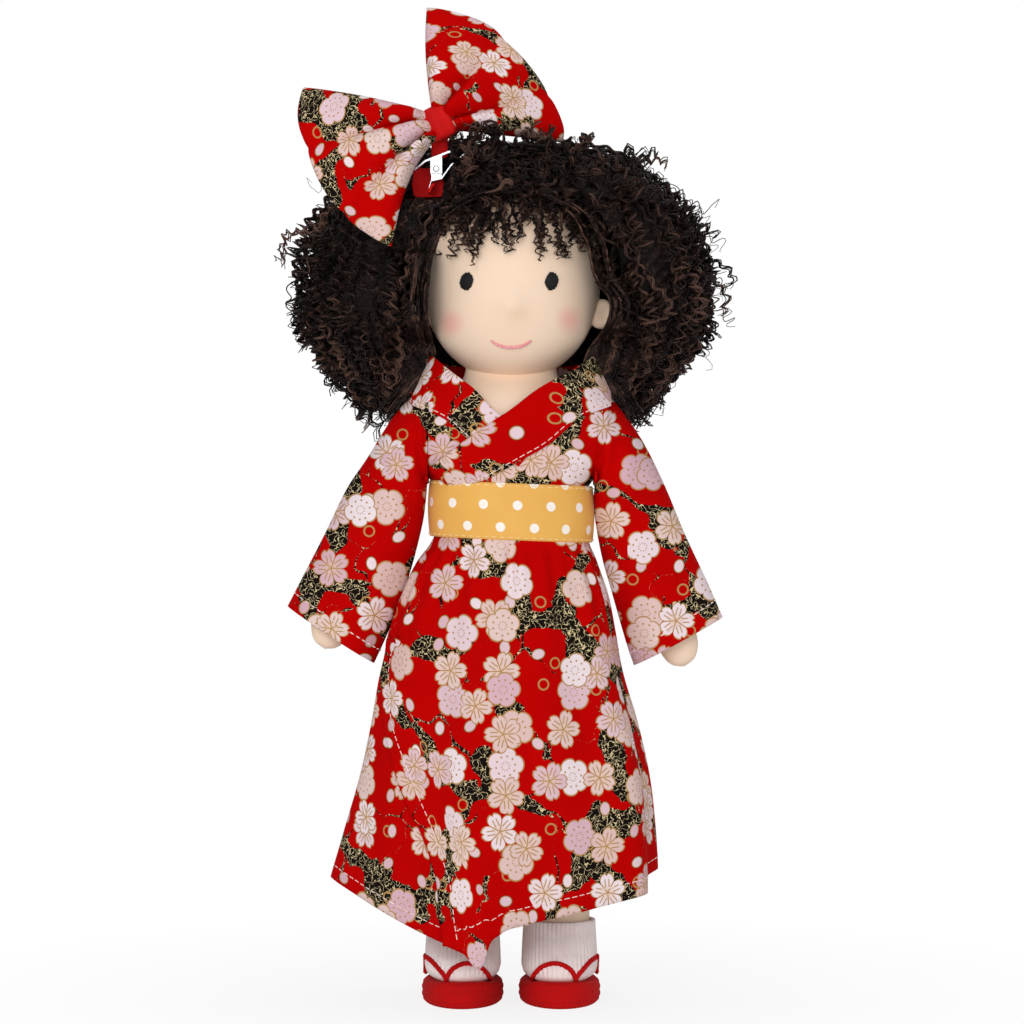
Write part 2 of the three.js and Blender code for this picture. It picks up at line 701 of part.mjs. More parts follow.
function roundBar(radius, low, high, count) {
  const level = (z) => ring(count, (t) => point(radius * Math.cos(t), radius * Math.sin(t), z));
  return ringSolid([level(low), level(high)]);
}

const neckRecess = roundBar(neckRadius + seatGap, 0, neckTop + seatGap, 24);
const headShell = (inner, outer) => cut(headSolid(outer), headSolid(inner));
piece('head_skin', cut(headShell(-skinThick, 0), neckRecess), skinTone);
piece('head_stuffing', cut(headSolid(-skinStep), neckRecess), woolWhite);

const faceLayer = headShell(seatGap, seatGap + stitchThick);
const faceDepth = -headDepth / 4;
for (const [side, sign] of [['left', -1], ['right', 1]]) {
  const eye = ellipse(eyeHalfWidth, eyeHalfHeight, sign * eyeSpacing, eyeHeight, 12);
  piece(`eye_${side}`, keep(faceLayer, frontPrism(eye, frontNear, faceDepth)), eyeBlack);
  const ear = new THREE.SphereGeometry(1, 10, 8).scale(earHalf.x, earHalf.y, earHalf.z);
  ear.translate(sign * headWidth / 2, earForward, earHeight);
  piece(`ear_${side}`, cut(ear, headSolid(seatGap)), skinTone);
}
const lips = [[-mouthHalfWidth, mouthHeight], [0, mouthHeight - 2 * mouthSag], [mouthHalfWidth, mouthHeight]];
const smile = bandOutline(...lips, stitchThick, 6);
piece('mouth', keep(faceLayer, frontPrism(smile, frontNear, faceDepth)), lipPink);

// Wig cap behind a slanted line from the forehead to the nape
const capIn = seatGap;
const behindLine = block([-cutReach, 0, -cutReach], [cutReach, 2 * cutReach, 2 * cutReach])
  .rotateX(radians(capTilt)).translate(0, capFront, capHeight);
piece('wig_cap', cut(keep(headShell(capIn, capIn + capThick), behindLine), neckRecess), capBrown);

// Curly hair round the face, kept clear of the collar as the head turns and of the bow as its clip opens
const hairSegments = 26;
const hairRings = hairStations.map((s) => ring(hairSegments, (t) => {
  const lobe = 1 + curlDepth * Math.cos(curlLobes * (t - Math.PI / 2)) * Math.cos(s.z / 9);
  return point(s.w * lobe * Math.cos(t), s.y + s.d * lobe * Math.sin(t), s.z);
}));
const collarClear = [
  [75, -27], [73, -13], [64, 4], [52, 21], [39, 41], [34, 47],
].map(([r, rise]) => ring(24, (t) => point(r * Math.cos(t), r * Math.sin(t), shoulderHeight + rise)));
const archHalf = 14;
const faceWindow = (inset) => {
  const side = faceHalfWidth - inset;
  const top = hairline - inset;
  const right = [
    [archHalf, top], [side * 0.8, top - 11], [side, top - 28], [side, chin + 18], [side + 3, chin - 42],
  ];
  return [...right.toReversed().map(([x, z]) => [-x, z]), ...right];
};
const raised = (outline) => outline.map(([x, rise]) => [x, chin + rise]);
const wingClear = raised([
  [-112, 143], [-112, 90], [-92, 60], [-62, 42], [-34, 42], [-24, 58], [-24, 143],
]);
const knotClear = raised([[-54, 81], [-17, 81], [-17, 138], [-54, 138]]);
const rightWingClear = raised([[-40, 104], [32, 100], [36, 148], [-40, 148]]);
const hairBehindWing = -24;
const clipBack = clipFront + clipWidth;
const hairBehindClip = Math.max(knot.y + knot.hy, clipBack + pinOver) + seatGap;
const hairWhole = cut(
  ringSolid(hairRings),
  headSolid(capIn + capThick + seatGap),
  ringSolid(collarClear),
  frontPrism(faceWindow(0), frontNear, 0),
  frontPrism(wingClear, frontNear, hairBehindWing),
  frontPrism(knotClear, frontNear, hairBehindClip),
  frontPrism(rightWingClear, -32, 2),
);
const earClear = (sign) => {
  const room = new THREE.SphereGeometry(1, 10, 8);
  room.scale(earHalf.x + 2, earHalf.y + 2, earHalf.z + 2);
  return room.translate(sign * headWidth / 2, earForward, earHeight);
};
const hair = cut(hairWhole, earClear(-1), earClear(1));
const half = seatGap / 2;
const hairLow = hairStations[0].z - cutMargin;
const hairHigh = hairStations.at(-1).z + cutMargin;
const crownBlock = block([-cutReach, -cutReach, crownSplit + half], [cutReach, cutReach, hairHigh]);
const backBlock = block([-cutReach, backSplit + half, hairLow], [cutReach, cutReach, crownSplit - half]);
piece('hair_crown', keep(hair, crownBlock), hairBrown);
piece('hair_back', keep(hair, backBlock), hairBrown);
for (const [side, sign] of [['left', -1], ['right', 1]]) {
  const sideBlock = sign < 0
    ? block([-cutReach, -cutReach, hairLow], [-half, backSplit - half, crownSplit - half])
    : block([half, -cutReach, hairLow], [cutReach, backSplit - half, crownSplit - half]);
  piece(`hair_${side}`, keep(hair, sideBlock), hairBrown);
}

// Fringe: pointed locks that hang from the hairline over the forehead
const fringeLine = fringeEnds.flatMap(([x, z], k) => {
  const next = fringeEnds[k + 1];
  return next ? [[x, z], [(x + next[0]) / 2, Math.max(z, next[1]) + 4]] : [[x, z]];
});
const fringeOutline = [[-faceHalfWidth, above + 80], ...fringeLine, [faceHalfWidth, above + 80]];
const fringeIn = capIn + capThick + seatGap;
const fringeShell = headShell(fringeIn, fringeIn + fringeThick);
const fringeWindow = frontPrism(faceWindow(2 * seatGap), frontNear, -sideSeam);
piece('hair_fringe', keep(fringeShell, frontPrism(fringeOutline, frontNear, 0), fringeWindow), hairBrown);

// Bow: two pleated wings gathered in a wrapped knot
const knotSolid = (grow) => new THREE.SphereGeometry(1, 12, 8)
  .scale(knot.hx + grow, knot.hy + grow, knot.hz + grow).translate(knot.x, knot.y, knot.z);

function wingSolid(wing) {
  const ends = [wing.bottom, wing.bulge, wing.top].map((p) => point(...p));
  const outline = new THREE.QuadraticBezierCurve3(...ends);
  const centre = point(knot.x, knot.y, knot.z);
  const across = point(...wing.top).sub(point(...wing.bottom)).normalize();
  const rows = 6;
  const columns = 12;
  const at = (out, along, shift) => {
    const root = centre.clone().addScaledVector(across, wingRoot * (2 * along - 1));
    const pleat = pleatDepth * Math.sin(Math.PI * out * 0.75) * Math.cos(2 * Math.PI * pleats * along);
    return root.lerp(outline.getPoint(along), out).add(point(0, pleat + shift, 0));
  };
  const row = (out, shift) => Array.from({ length: columns + 1 }, (_, j) => at(out, j / columns, shift));
  const grid = (shift) => Array.from({ length: rows }, (_, i) => row(i / (rows - 1), shift));
  return sheetSolid(grid(-wingThick / 2), grid(wingThick / 2));
}

piece('bow_wing_left', cut(wingSolid(leftWing), knotSolid(seatGap)), kimonoRed);
piece('bow_wing_right', cut(wingSolid(rightWing), knotSolid(seatGap)), kimonoRed);

// Clip: two sheet jaws on a pin, with a coil spring round it and a felt lining on the lower prong
const { x: pivotX, z: pivotZ } = clipPivot;
const barRise = 3.9;
const barSlope = 0.386;
const barAt = (x) => barRise + barSlope * (x + 5);
const upperBar = [[-9.6, barRise - 3.8], [-5, barAt(-5)], [9, barAt(9)], [16, barAt(16)]];
const lowerBar = [[-3.4, -8.5], [-2.2, -4.6], [2.5, -3.6], [6.5, 2], [15.4, barAt(15.4) - 2.2]];

function barProfile(line, thick) {
  const upper = line.map(([x, z]) => [pivotX + x, pivotZ + z]);
  return [...upper, ...upper.toReversed().map(([x, z]) => [x, z - thick])];
}

const bar = (line, inset) => frontPrism(barProfile(line, clipSheet), clipFront + inset, clipBack - inset);
const pinHole = new THREE.CylinderGeometry(pinRadius + seatGap, pinRadius + seatGap, 4 * clipWidth, 10)
  .translate(pivotX, clipFront, pivotZ);
const cheekThick = 0.8;
const cheekOutline = (corners) => corners.map(([x, z]) => [pivotX + x, pivotZ + z]);
const upperCheek = cheekOutline([[-2.6, -2], [2.6, -2], [2.6, barAt(0)], [-2.6, barAt(-4)]]);
const cheeks = [clipFront, clipBack - cheekThick].map((y) => frontPrism(upperCheek, y, y + cheekThick));
piece('clip_upper_jaw', cut(join(bar(upperBar, 0), ...cheeks), pinHole), clipSteel);

const lowerOutline = cheekOutline([[-2.2, -5], [2.4, -4], [2.2, 2], [-2.2, 2]]);
const innerCheeks = [clipFront + cheekThick + seatGap, clipBack - 2 * cheekThick - seatGap];
const lowerCheeks = innerCheeks.map((y) => frontPrism(lowerOutline, y, y + cheekThick));
piece('clip_lower_jaw', cut(join(bar(lowerBar, cheekThick + seatGap), ...lowerCheeks), pinHole), clipSteel);
const pin = new THREE.CylinderGeometry(pinRadius, pinRadius, clipWidth + 2 * pinOver, 10)
  .translate(pivotX, (clipFront + clipBack) / 2, pivotZ);
piece('clip_pin', pin, clipSteel);

// The spring is one helical wire, drawn with a five-sided section
class Helix extends THREE.Curve {
  getPoint(share, target = new THREE.Vector3()) {
    const turn = share * springTurns * 2 * Math.PI;
    const along = (share - 0.5) * springTurns * springPitch;
    return target.set(
      pivotX + springRadius * Math.cos(turn),
      (clipFront + clipBack) / 2 + along,
      pivotZ + springRadius * Math.sin(turn),
    );
  }
}
const wireOutline = ellipse(springWire / 2, springWire / 2, 0, 0, 5);
const wire = new THREE.Shape(wireOutline.map((p) => new THREE.Vector2(...p)));
const coil = new Helix();
const coilSteps = springTurns * 8;
const spring = new THREE.ExtrudeGeometry(wire, { steps: coilSteps, extrudePath: coil, bevelEnabled: false });
piece('clip_spring', toSolid(spring), clipSteel);
const coilPoints = coil.getPoints(springTurns * 24);
let springGap = Infinity;
coilPoints.forEach((a, i) => coilPoints.forEach((b, j) => {
  if (j - i > 12) springGap = Math.min(springGap, a.distanceTo(b) - springWire);
}));
console.log(`clip spring: least gap between turns ${springGap.toFixed(2)} mm`);

const liningDrop = clipSheet + seatGap;
const liningLine = [[-2.6, -9.6], [-1.6, -7.2], [-0.4, -5.8]].map(([x, z]) => [x, z - liningDrop]);
piece('clip_lining', frontPrism(barProfile(liningLine, 1.6), clipFront, clipBack), sandalRed);

// The knot's ribbon runs down behind the knot to the upper jaw
const ribbonLow = pivotZ + barAt(knot.x + ribbonWidth / 2 - pivotX);
const ribbon = block(
  [knot.x - ribbonWidth / 2, clipBack - 5, ribbonLow + seatGap],
  [knot.x + ribbonWidth / 2, clipBack - 3.4, knot.z - knot.hz / 2],
);
piece('bow_knot', join(knotSolid(0), ribbon), sandalRed);

export default doll;
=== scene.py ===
import bpy
import bmesh
import math
import numpy as np
from functools import partial
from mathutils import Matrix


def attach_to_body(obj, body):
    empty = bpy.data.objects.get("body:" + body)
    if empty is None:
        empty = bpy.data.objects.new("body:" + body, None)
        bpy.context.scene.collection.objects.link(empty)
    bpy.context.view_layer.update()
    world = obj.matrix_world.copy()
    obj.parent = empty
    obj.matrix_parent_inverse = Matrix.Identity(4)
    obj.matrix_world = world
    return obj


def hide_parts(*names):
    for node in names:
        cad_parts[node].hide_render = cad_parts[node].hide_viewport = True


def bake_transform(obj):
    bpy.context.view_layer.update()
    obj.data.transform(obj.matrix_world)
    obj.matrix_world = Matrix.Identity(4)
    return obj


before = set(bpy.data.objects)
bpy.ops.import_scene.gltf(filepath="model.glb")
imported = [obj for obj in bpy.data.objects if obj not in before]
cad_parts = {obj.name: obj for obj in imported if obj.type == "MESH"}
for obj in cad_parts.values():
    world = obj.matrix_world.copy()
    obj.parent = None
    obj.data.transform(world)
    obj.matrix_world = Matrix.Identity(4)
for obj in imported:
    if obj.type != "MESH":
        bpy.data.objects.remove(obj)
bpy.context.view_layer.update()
print("frame loaded:", len(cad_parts), "nodes")

mm = 0.001
pi = math.pi
rad = math.radians
faceShift = -10.0  # the doll stands this far towards its face, in mm
bothSides = (("left", -1), ("right", 1))  # as the viewer sees them
scene = bpy.context.scene
scene.view_settings.view_transform = "Standard"


# Shapes: arrays in mm, x to the viewer's right, -y towards the viewer, z up

def through(at, knots, values):
    # smooth curve through the values: cubic pieces whose slopes come from the neighbouring values
    knots, values = np.asarray(knots, float), np.asarray(values, float)
    slopes = np.gradient(values, knots)
    i = np.clip(np.searchsorted(knots, at) - 1, 0, len(knots) - 2)
    step = knots[i + 1] - knots[i]
    t = np.clip((at - knots[i]) / step, 0, 1)
    rise = t * t * (3 - 2 * t)
    lean = t * (1 - t) ** 2 * slopes[i] + t * t * (t - 1) * slopes[i + 1]
    return values[i] * (1 - rise) + values[i + 1] * rise + step * lean


def smooth(low, high, at):
    # 0 below low, 1 above high, with a soft rise between
    t = np.clip((at - low) / (high - low), 0, 1)
    return t * t * (3 - 2 * t)


def profile(shape, z, *keys):
    # the named measures of a shape at a height
    return [through(z, shape["z"], shape[key]) for key in keys]


def grid(rows, columns):
    # two parameters from 0 to 1: v changes down the rows, u along each row
    v, u = np.meshgrid(np.linspace(0, 1, rows), np.linspace(0, 1, columns), indexing="ij")
    return u, v


def gridFaces(rows, columns, flip=False):
    # one quad between each pair of neighbouring rows and columns
    i, j = np.meshgrid(np.arange(rows - 1), np.arange(columns - 1), indexing="ij")
    a = i * columns + j
    quads = np.stack([a, a + 1, a + columns + 1, a + columns], -1).reshape(-1, 4)
    return quads[:, ::-1] if flip else quads


def capped(v):
    # 0 on the first and last row, where a form closes, and 1 between
    return np.where((v <= 0) | (v >= 1), 0.0, 1.0)


def unit(vectors):
    # each vector with a length of 1
    return vectors / (np.linalg.norm(vectors, axis=-1, keepdims=True) + 1e-9)


def arcLength(points, axis):
    # distance along a line, or along the rows or columns of a point grid, from its first point
    step = np.linalg.norm(np.diff(points, axis=axis), axis=-1)
    start = np.zeros_like(np.take(points, [0], axis=axis)[..., 0])
    return np.concatenate([start, np.cumsum(step, axis=axis)], axis=axis)


def makePiece(name, points, look, faces=None, uv=None, tone=None, flip=False):
    # points in mm, a grid of rows and columns unless faces are given; uv in mm on the cloth
    if faces is None:
        faces = gridFaces(*points.shape[:2], flip)
    mesh = bpy.data.meshes.new(name)
    count, sides = faces.shape
    placed = (points.reshape(-1, 3) + (0, faceShift, 0)) * mm
    mesh.vertices.add(len(placed))
    mesh.vertices.foreach_set("co", placed.astype(np.float32).ravel())
    mesh.loops.add(count * sides)
    mesh.loops.foreach_set("vertex_index", faces.astype(np.int32).ravel())
    mesh.polygons.add(count)
    mesh.polygons.foreach_set("loop_start", np.arange(count, dtype=np.int32) * sides)
    mesh.polygons.foreach_set("use_smooth", np.ones(count, bool))
    if uv is not None:
        layer = mesh.uv_layers.new(name="clothMap")
        layer.data.foreach_set("uv", uv.reshape(-1, 2)[faces.ravel()].astype(np.float32).ravel())
    if tone is not None:
        layer = mesh.attributes.new("tone", "FLOAT", "POINT")
        layer.data.foreach_set("value", tone.astype(np.float32).ravel())
    mesh.update(calc_edges=True)
    mesh.validate()
    mesh.materials.append(look)
    piece = bpy.data.objects.new(name, mesh)
    scene.collection.objects.link(piece)
    return piece


def weld(piece, outward=True):
    # joins the seam and pole points, then turns the faces of a closed form outwards
    work = bmesh.new()
    work.from_mesh(piece.data)
    bmesh.ops.remove_doubles(work, verts=work.verts, dist=2e-6)
    if outward:
        bmesh.ops.recalc_face_normals(work, faces=work.faces)
    work.to_mesh(piece.data)
    work.free()
    piece.data.polygons.foreach_set("use_smooth", np.ones(len(piece.data.polygons), bool))
    return piece


def thicken(piece, thick):
    # cloth with two sides: the thickness goes inwards
    wall = piece.modifiers.new("cloth", "SOLIDIFY")
    wall.thickness = thick * mm
    wall.offset = -1
    return piece


def attach(piece, slot, body=None, nodes=(), fill=None, **sheet):
    # parents the piece to the body it rides on and hides the CAD nodes it stands for; its material slot,
    # filling and flat cloth are not used
    if body:
        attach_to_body(piece, body)
    if nodes:
        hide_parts(*nodes)
    return piece


def tubeField(paths, radii, sides=3):
    # a round section carried along each of the paths (n, m, 3), passed on from ring to ring without twist
    count, steps, _ = paths.shape
    along = unit(np.gradient(paths, axis=1))
    helper = np.where(np.abs(along[:, 0, 2:3]) < 0.9, [[0.0, 0.0, 1.0]], [[1.0, 0.0, 0.0]])
    across = np.cross(along[:, 0], helper)
    frames = []
    for k in range(steps):
        across = unit(across - along[:, k] * (across * along[:, k]).sum(1, keepdims=True))
        frames.append(across)
    normal = np.stack(frames, 1)
    other = np.cross(along, normal)
    turn = np.arange(sides) / sides * 2 * pi
    spoke = normal[:, :, None] * np.cos(turn)[:, None] + other[:, :, None] * np.sin(turn)[:, None]
    points = paths[:, :, None] + radii[:, :, None, None] * spoke
    k, s = np.meshgrid(np.arange(steps - 1), np.arange(sides), indexing="ij")
    a, b = k * sides + s, k * sides + (s + 1) % sides
    wall = np.concatenate([np.stack([a, b, b + sides], -1), np.stack([a, b + sides, a + sides], -1)])
    fan = np.arange(1, sides - 1)
    first = np.stack([np.zeros_like(fan), fan + 1, fan], -1)
    last = np.stack([np.zeros_like(fan), fan, fan + 1], -1) + (steps - 1) * sides
    one = np.concatenate([wall.reshape(-1, 3), first, last])
    faces = (one[None] + (np.arange(count) * steps * sides)[:, None, None]).reshape(-1, 3)
    return points.reshape(-1, 3), faces


stitch = {"long": 2.5, "gap": 1.1, "radius": 0.32, "points": 6}


def stitchRow(name, line, lift, look, slot, body=None):
    # even thread stitches on a line of points (m, 3); lift (m, 3) is the cloth's outward direction
    along = arcLength(line, 0)
    count = max(1, int(along[-1] / (stitch["long"] + stitch["gap"])))
    starts = (np.arange(count) + 0.5) * along[-1] / count - stitch["long"] / 2
    share = np.linspace(0, 1, stitch["points"])
    at = starts[:, None] + share * stitch["long"]
    place, up = (np.stack([np.interp(at, along, way[:, k]) for k in range(3)], -1) for way in (line, lift))
    bow = np.sin(pi * share)
    paths = place + unit(up) * (stitch["radius"] * (1.3 * bow - 0.55))[None, :, None]
    radii = np.broadcast_to(stitch["radius"] * (0.45 + 0.55 * bow), (count, stitch["points"]))
    points, faces = tubeField(paths, radii, 6)
    return attach(makePiece(name, points, look, faces), slot, body)


# Materials

def hexColour(code):
    # sRGB hex to linear light, by the sRGB curve
    parts = np.array([int(code[i:i + 2], 16) for i in (1, 3, 5)]) / 255
    linear = np.where(parts <= 0.04045, parts / 12.92, ((parts + 0.055) / 1.055) ** 2.4)
    return (*linear.tolist(), 1.0)


# the setting that a kind of node takes from the word after its point
modes = {"Math": "operation", "VectorMath": "operation", "Mix": "data_type", "VectorRotate": "rotation_type",
         "TexVoronoi": "feature", "TexWave": "bands_direction", "MapRange": "interpolation_type"}


def addNode(tree, kind, *inputs, out=0, **settings):
    # a node; inputs are values or other nodes' outputs, for the sockets in their order or by capital name
    kind, _, mode = kind.partition(".")
    made = tree.nodes.new("ShaderNode" + kind)
    if mode:
        settings[modes[kind]] = mode
    for key, value in settings.items():
        if key[0].islower():
            setattr(made, key, value)
    fed = list(zip([socket for socket in made.inputs if socket.enabled], inputs))
    fed += [(made.inputs[key], value) for key, value in settings.items() if key[0].isupper()]
    for socket, value in fed:
        if isinstance(value, bpy.types.NodeSocket):
            tree.links.new(value, socket)
        else:
            socket.default_value = value
    return made.outputs[out] if out else [socket for socket in made.outputs if socket.enabled][0]


def startLook(name, roughness, sheen=0.0, specular=0.3):
    # an empty material, its way to add nodes and its shader; sheen is the glow of fibres at grazing angles
    look = bpy.data.materials.new(name)
    look.use_nodes = True
    shader = look.node_tree.nodes["Principled BSDF"]
    shader.inputs["Roughness"].default_value = roughness
    shader.inputs["Specular IOR Level"].default_value = specular
    shader.inputs["Sheen Weight"].default_value = sheen
    shader.inputs["Sheen Roughness"].default_value = 0.6
    return look, partial(addNode, look.node_tree), shader


def finishLook(look, shader, colour, height, strength, distance):
    # links the colour, and a height that stands for fine relief
    tree = look.node_tree
    tree.links.new(colour, shader.inputs["Base Color"])
    bump = addNode(tree, "Bump", Strength=strength, Distance=distance, Height=height)
    tree.links.new(bump, shader.inputs["Normal"])
    return look


# Kimono cotton: fine woven cotton, screen printed with plum and cherry blossoms, gold lines and branches.
# The eye sees saturated red, pale lilac petals outlined in gold, and a faint weave. Blossoms: kind, cell,
# radius, share of the cells that bear one, shift. Limbs: cell, scale and twist of the noise that sets their
# width, its two levels and the width. Buds: outer radius and tone of each ring.
printCloth = {
    "tones": {"ground": "#C60000", "shade": "#AC0000", "gold": "#B48A54", "branch": "#16110E",
              "fleck": "#E3CF9F", "petal": "#D4AAB6", "pale": "#EEDFE3", "peach": "#E0C2B8",
              "heart": "#DDBBA0"},
    "blossoms": (("plum", 29.0, 8.6, 0.49, (3.1, 7.7)), ("cherry", 26.0, 8.9, 0.56, (11.4, 2.3)),
                 ("cherry", 30.0, 8.3, 0.46, (5.8, 19.6)), ("plum", 33.0, 8.0, 0.38, (17.2, 13.9))),
    "limbs": ((62, 0.035, 0.0, 0.35, 0.62, 0.125), (36, 0.05, 1.0, 0.46, 0.6, 0.022)),
    "buds": ((3.2, "branch"), (3.0, "gold"), (2.55, None)),
    "ring": 2.3, "weave": 0.55, "line": 0.62, "ink": 0.12,
}


def blossomPrint(node, uv, spec):
    # flat print in mm: each layer scatters a motif in its own cells, and later layers lie over earlier ones
    tone = {key: hexColour(code) for key, code in spec["tones"].items()}
    ink, line = spec["ink"], spec["line"]

    def cells(size, shift, jitter):
        # the place inside the nearest cell in mm, its distance from the middle and the cell's random colour
        scaled = node("VectorMath.MULTIPLY_ADD", uv, (1 / size,) * 3, (*shift, 0))
        cell = node("TexVoronoi", scaled, 1.0, Randomness=jitter, voronoi_dimensions="2D").node.outputs
        local = node("VectorMath.SCALE", node("VectorMath.SUBTRACT", scaled, cell["Position"]), size)
        return local, node("VectorMath.LENGTH", local), node("SeparateColor", cell["Color"]).node.outputs

    wash = node("TexNoise", uv, 0.05, 3.0)
    colour = node("Mix.RGBA", wash, tone["shade"], tone["ground"])

    # branches and twigs: edges of cells on a wavering map, their width from a slow noise
    sway = node("TexNoise", uv, 0.045, 2.5, out="Color")
    swayed = node("VectorMath.MULTIPLY_ADD", sway, (34, 34, 0), uv)
    grit = node("TexNoise", uv, 0.46, 0.5, Distortion=0.8)
    winding = node("Math.ABSOLUTE", node("Math.SUBTRACT", grit, 0.5))
    flecks = node("MapRange", winding, 0.032, 0.012)
    bark = node("Mix.RGBA", flecks, tone["branch"], tone["fleck"])
    for cell, slow, twist, low, high, wide in spec["limbs"]:
        scaled = node("VectorMath.SCALE", swayed, 1 / cell)
        away = node("TexVoronoi.DISTANCE_TO_EDGE", scaled, 1.0, Randomness=1.0, voronoi_dimensions="2D")
        width = node("MapRange", node("TexNoise", uv, slow, 1.0, Distortion=twist), low, high, 0.0, wide)
        limb = node("MapRange", node("Math.SUBTRACT", away, width), 0.003, -0.003)
        colour = node("Mix.RGBA", limb, colour, bark)

    # gold rings and small oval buds
    local, reach, chance = cells(21.0, (0.4, 0.7), 0.75)
    off = node("Math.ABSOLUTE", node("Math.SUBTRACT", reach, spec["ring"]))
    ring = node("MapRange", off, 0.6 * line + ink, 0.6 * line - ink)
    shown = node("Math.LESS_THAN", chance[0], 0.5)
    colour = node("Mix.RGBA", node("Math.MULTIPLY", ring, shown), colour, tone["gold"])
    local, reach, chance = cells(15.5, (7.3, 3.9), 0.7)
    turned = node("VectorRotate.Z_AXIS", local, Angle=node("Math.MULTIPLY", chance[1], 2 * pi))
    reach = node("VectorMath.LENGTH", node("VectorMath.MULTIPLY", turned, (1.25, 0.95, 0)))
    shown = node("Math.LESS_THAN", chance[0], 0.42)
    petal = node("Mix.RGBA", chance[2], tone["petal"], tone["pale"])
    for radius, key in spec["buds"]:
        inside = node("MapRange", reach, radius + ink, radius - ink)
        colour = node("Mix.RGBA", node("Math.MULTIPLY", inside, shown), colour, tone[key] if key else petal)

    for kind, cell, size, share, shift in spec["blossoms"]:
        local, reach, chance = cells(cell, shift, 0.62)
        xy = node("SeparateXYZ", local).node.outputs
        start = node("Math.MULTIPLY", chance[1], 5.0)
        fifth = node("Math.MULTIPLY_ADD", node("Math.ARCTAN2", xy[1], xy[0]), 5 / (2 * pi), start)
        # 0 on each petal's middle line, 1 between two petals
        side = node("Math.MULTIPLY", node("Math.PINGPONG", fifth, 0.5), 2.0)
        bulge = node("Math.SQRT", node("Math.SUBTRACT", 1.0, node("Math.MULTIPLY", side, side)))
        petal = node("Mix.RGBA", chance[2], tone["petal"], tone["pale"])
        warm = node("Math.MULTIPLY", node("Math.LESS_THAN", chance[1], 0.34), 0.75)
        petal = node("Mix.RGBA", warm, petal, tone["peach"])
        if kind == "plum":
            edge = node("Math.MULTIPLY_ADD", bulge, 0.27 * size, 0.73 * size)
            # small gold dots in two rings round the heart
            ways = node("Math.COSINE", node("Math.MULTIPLY", fifth, 4 * pi))
            circles = node("Math.COSINE", node("Math.MULTIPLY_ADD", reach, 2 * pi / 2.6, 2.0))
            dots = node("MapRange", node("Math.ADD", ways, circles), 1.33, 1.57)
            inside = node("MapRange", reach, 0.72 * size + ink, 0.72 * size - ink)
            petal = node("Mix.RGBA", node("Math.MULTIPLY", dots, inside), petal, tone["gold"])
        else:
            notch = node("Math.MAXIMUM", node("Math.MULTIPLY_ADD", side, -0.8 * size, 0.13 * size), 0.0)
            edge = node("Math.SUBTRACT", node("Math.MULTIPLY_ADD", bulge, 0.55 * size, 0.45 * size), notch)
            # a peach heart, a gold line between petals and two short lines on each petal
            heart = node("MapRange", reach, 0.3 * size + 2, 0.3 * size - 2, 0.0, 0.7)
            petal = node("Mix.RGBA", heart, petal, tone["heart"])
            across = node("Math.MULTIPLY", node("Math.MULTIPLY", side, reach), 0.63)
            vein = node("MapRange", node("Math.ABSOLUTE", node("Math.SUBTRACT", across, 0.9)), 0.38, 0.14)
            low = node("MapRange", reach, 0.28 * size - ink, 0.28 * size + ink)
            high = node("MapRange", reach, 0.68 * size + ink, 0.68 * size - ink)
            vein = node("Math.MULTIPLY", vein, node("Math.MULTIPLY", high, low))
            petal = node("Mix.RGBA", vein, petal, tone["gold"])
            between = node("Math.MULTIPLY", node("Math.SUBTRACT", 1.0, side), reach)
            petal = node("Mix.RGBA", node("MapRange", between, 0.54, 0.3), petal, tone["gold"])
        beyond = node("Math.SUBTRACT", reach, edge)
        rim = node("MapRange", beyond, -line - 0.15, -line + 0.15)
        petal = node("Mix.RGBA", rim, petal, tone["gold"])
        inside = node("MapRange", beyond, ink, -ink)
        shown = node("Math.MULTIPLY", inside, node("Math.LESS_THAN", chance[0], share))
        colour = node("Mix.RGBA", shown, colour, petal)
    return colour


def kimonoLook():
    look, node, shader = startLook("printedCotton", 0.88, 0.0, 0.04)
    uv = node("UVMap", uv_map="clothMap")
    colour = blossomPrint(node, uv, printCloth)
    # plain weave: two crossed thread waves, drawn at about 0.55 mm so that it shows
    wavesPerMm = 2 * pi / printCloth["weave"] / 20
    warp, weft = (node("TexWave." + way, uv, wavesPerMm, 0.6) for way in "XY")
    return finishLook(look, shader, colour, node("Math.MULTIPLY", warp, weft), 0.12, 0.0002)


# Skin jersey: fine cotton knit, brushed; a matt pale peach with small knit columns, rouge on the cheeks, and
# painted shade beside the nose and under the hair.
# Rouge and nose shadow, each spot: place in the front view, squeeze of the height, outer and inner reach in
# mm, strength, colour.
skinCloth = {"light": "#F7DFC8", "shade": "#F0D0B2", "knit": 0.9,
             "rougeAndNoseShadow": (((-27.4, 307.0), 1, 8.2, 1, 0.62, "#F0A79C"),
                       ((26.4, 308.4), 1, 8.2, 1, 0.62, "#F0A79C"),
                       # this last spot is no rouge but a painted shadow beside the nose
                       ((3.0, 310.5), 1.5, 8.0, 0, 0.4, "#E4C2A2")),
             # brow: painted shadow of the hair on the forehead, from the low to the high height, with its
             # strength and colour
             "brow": (343, 366, 0.85, "#C79C78"), "front": -20.0}


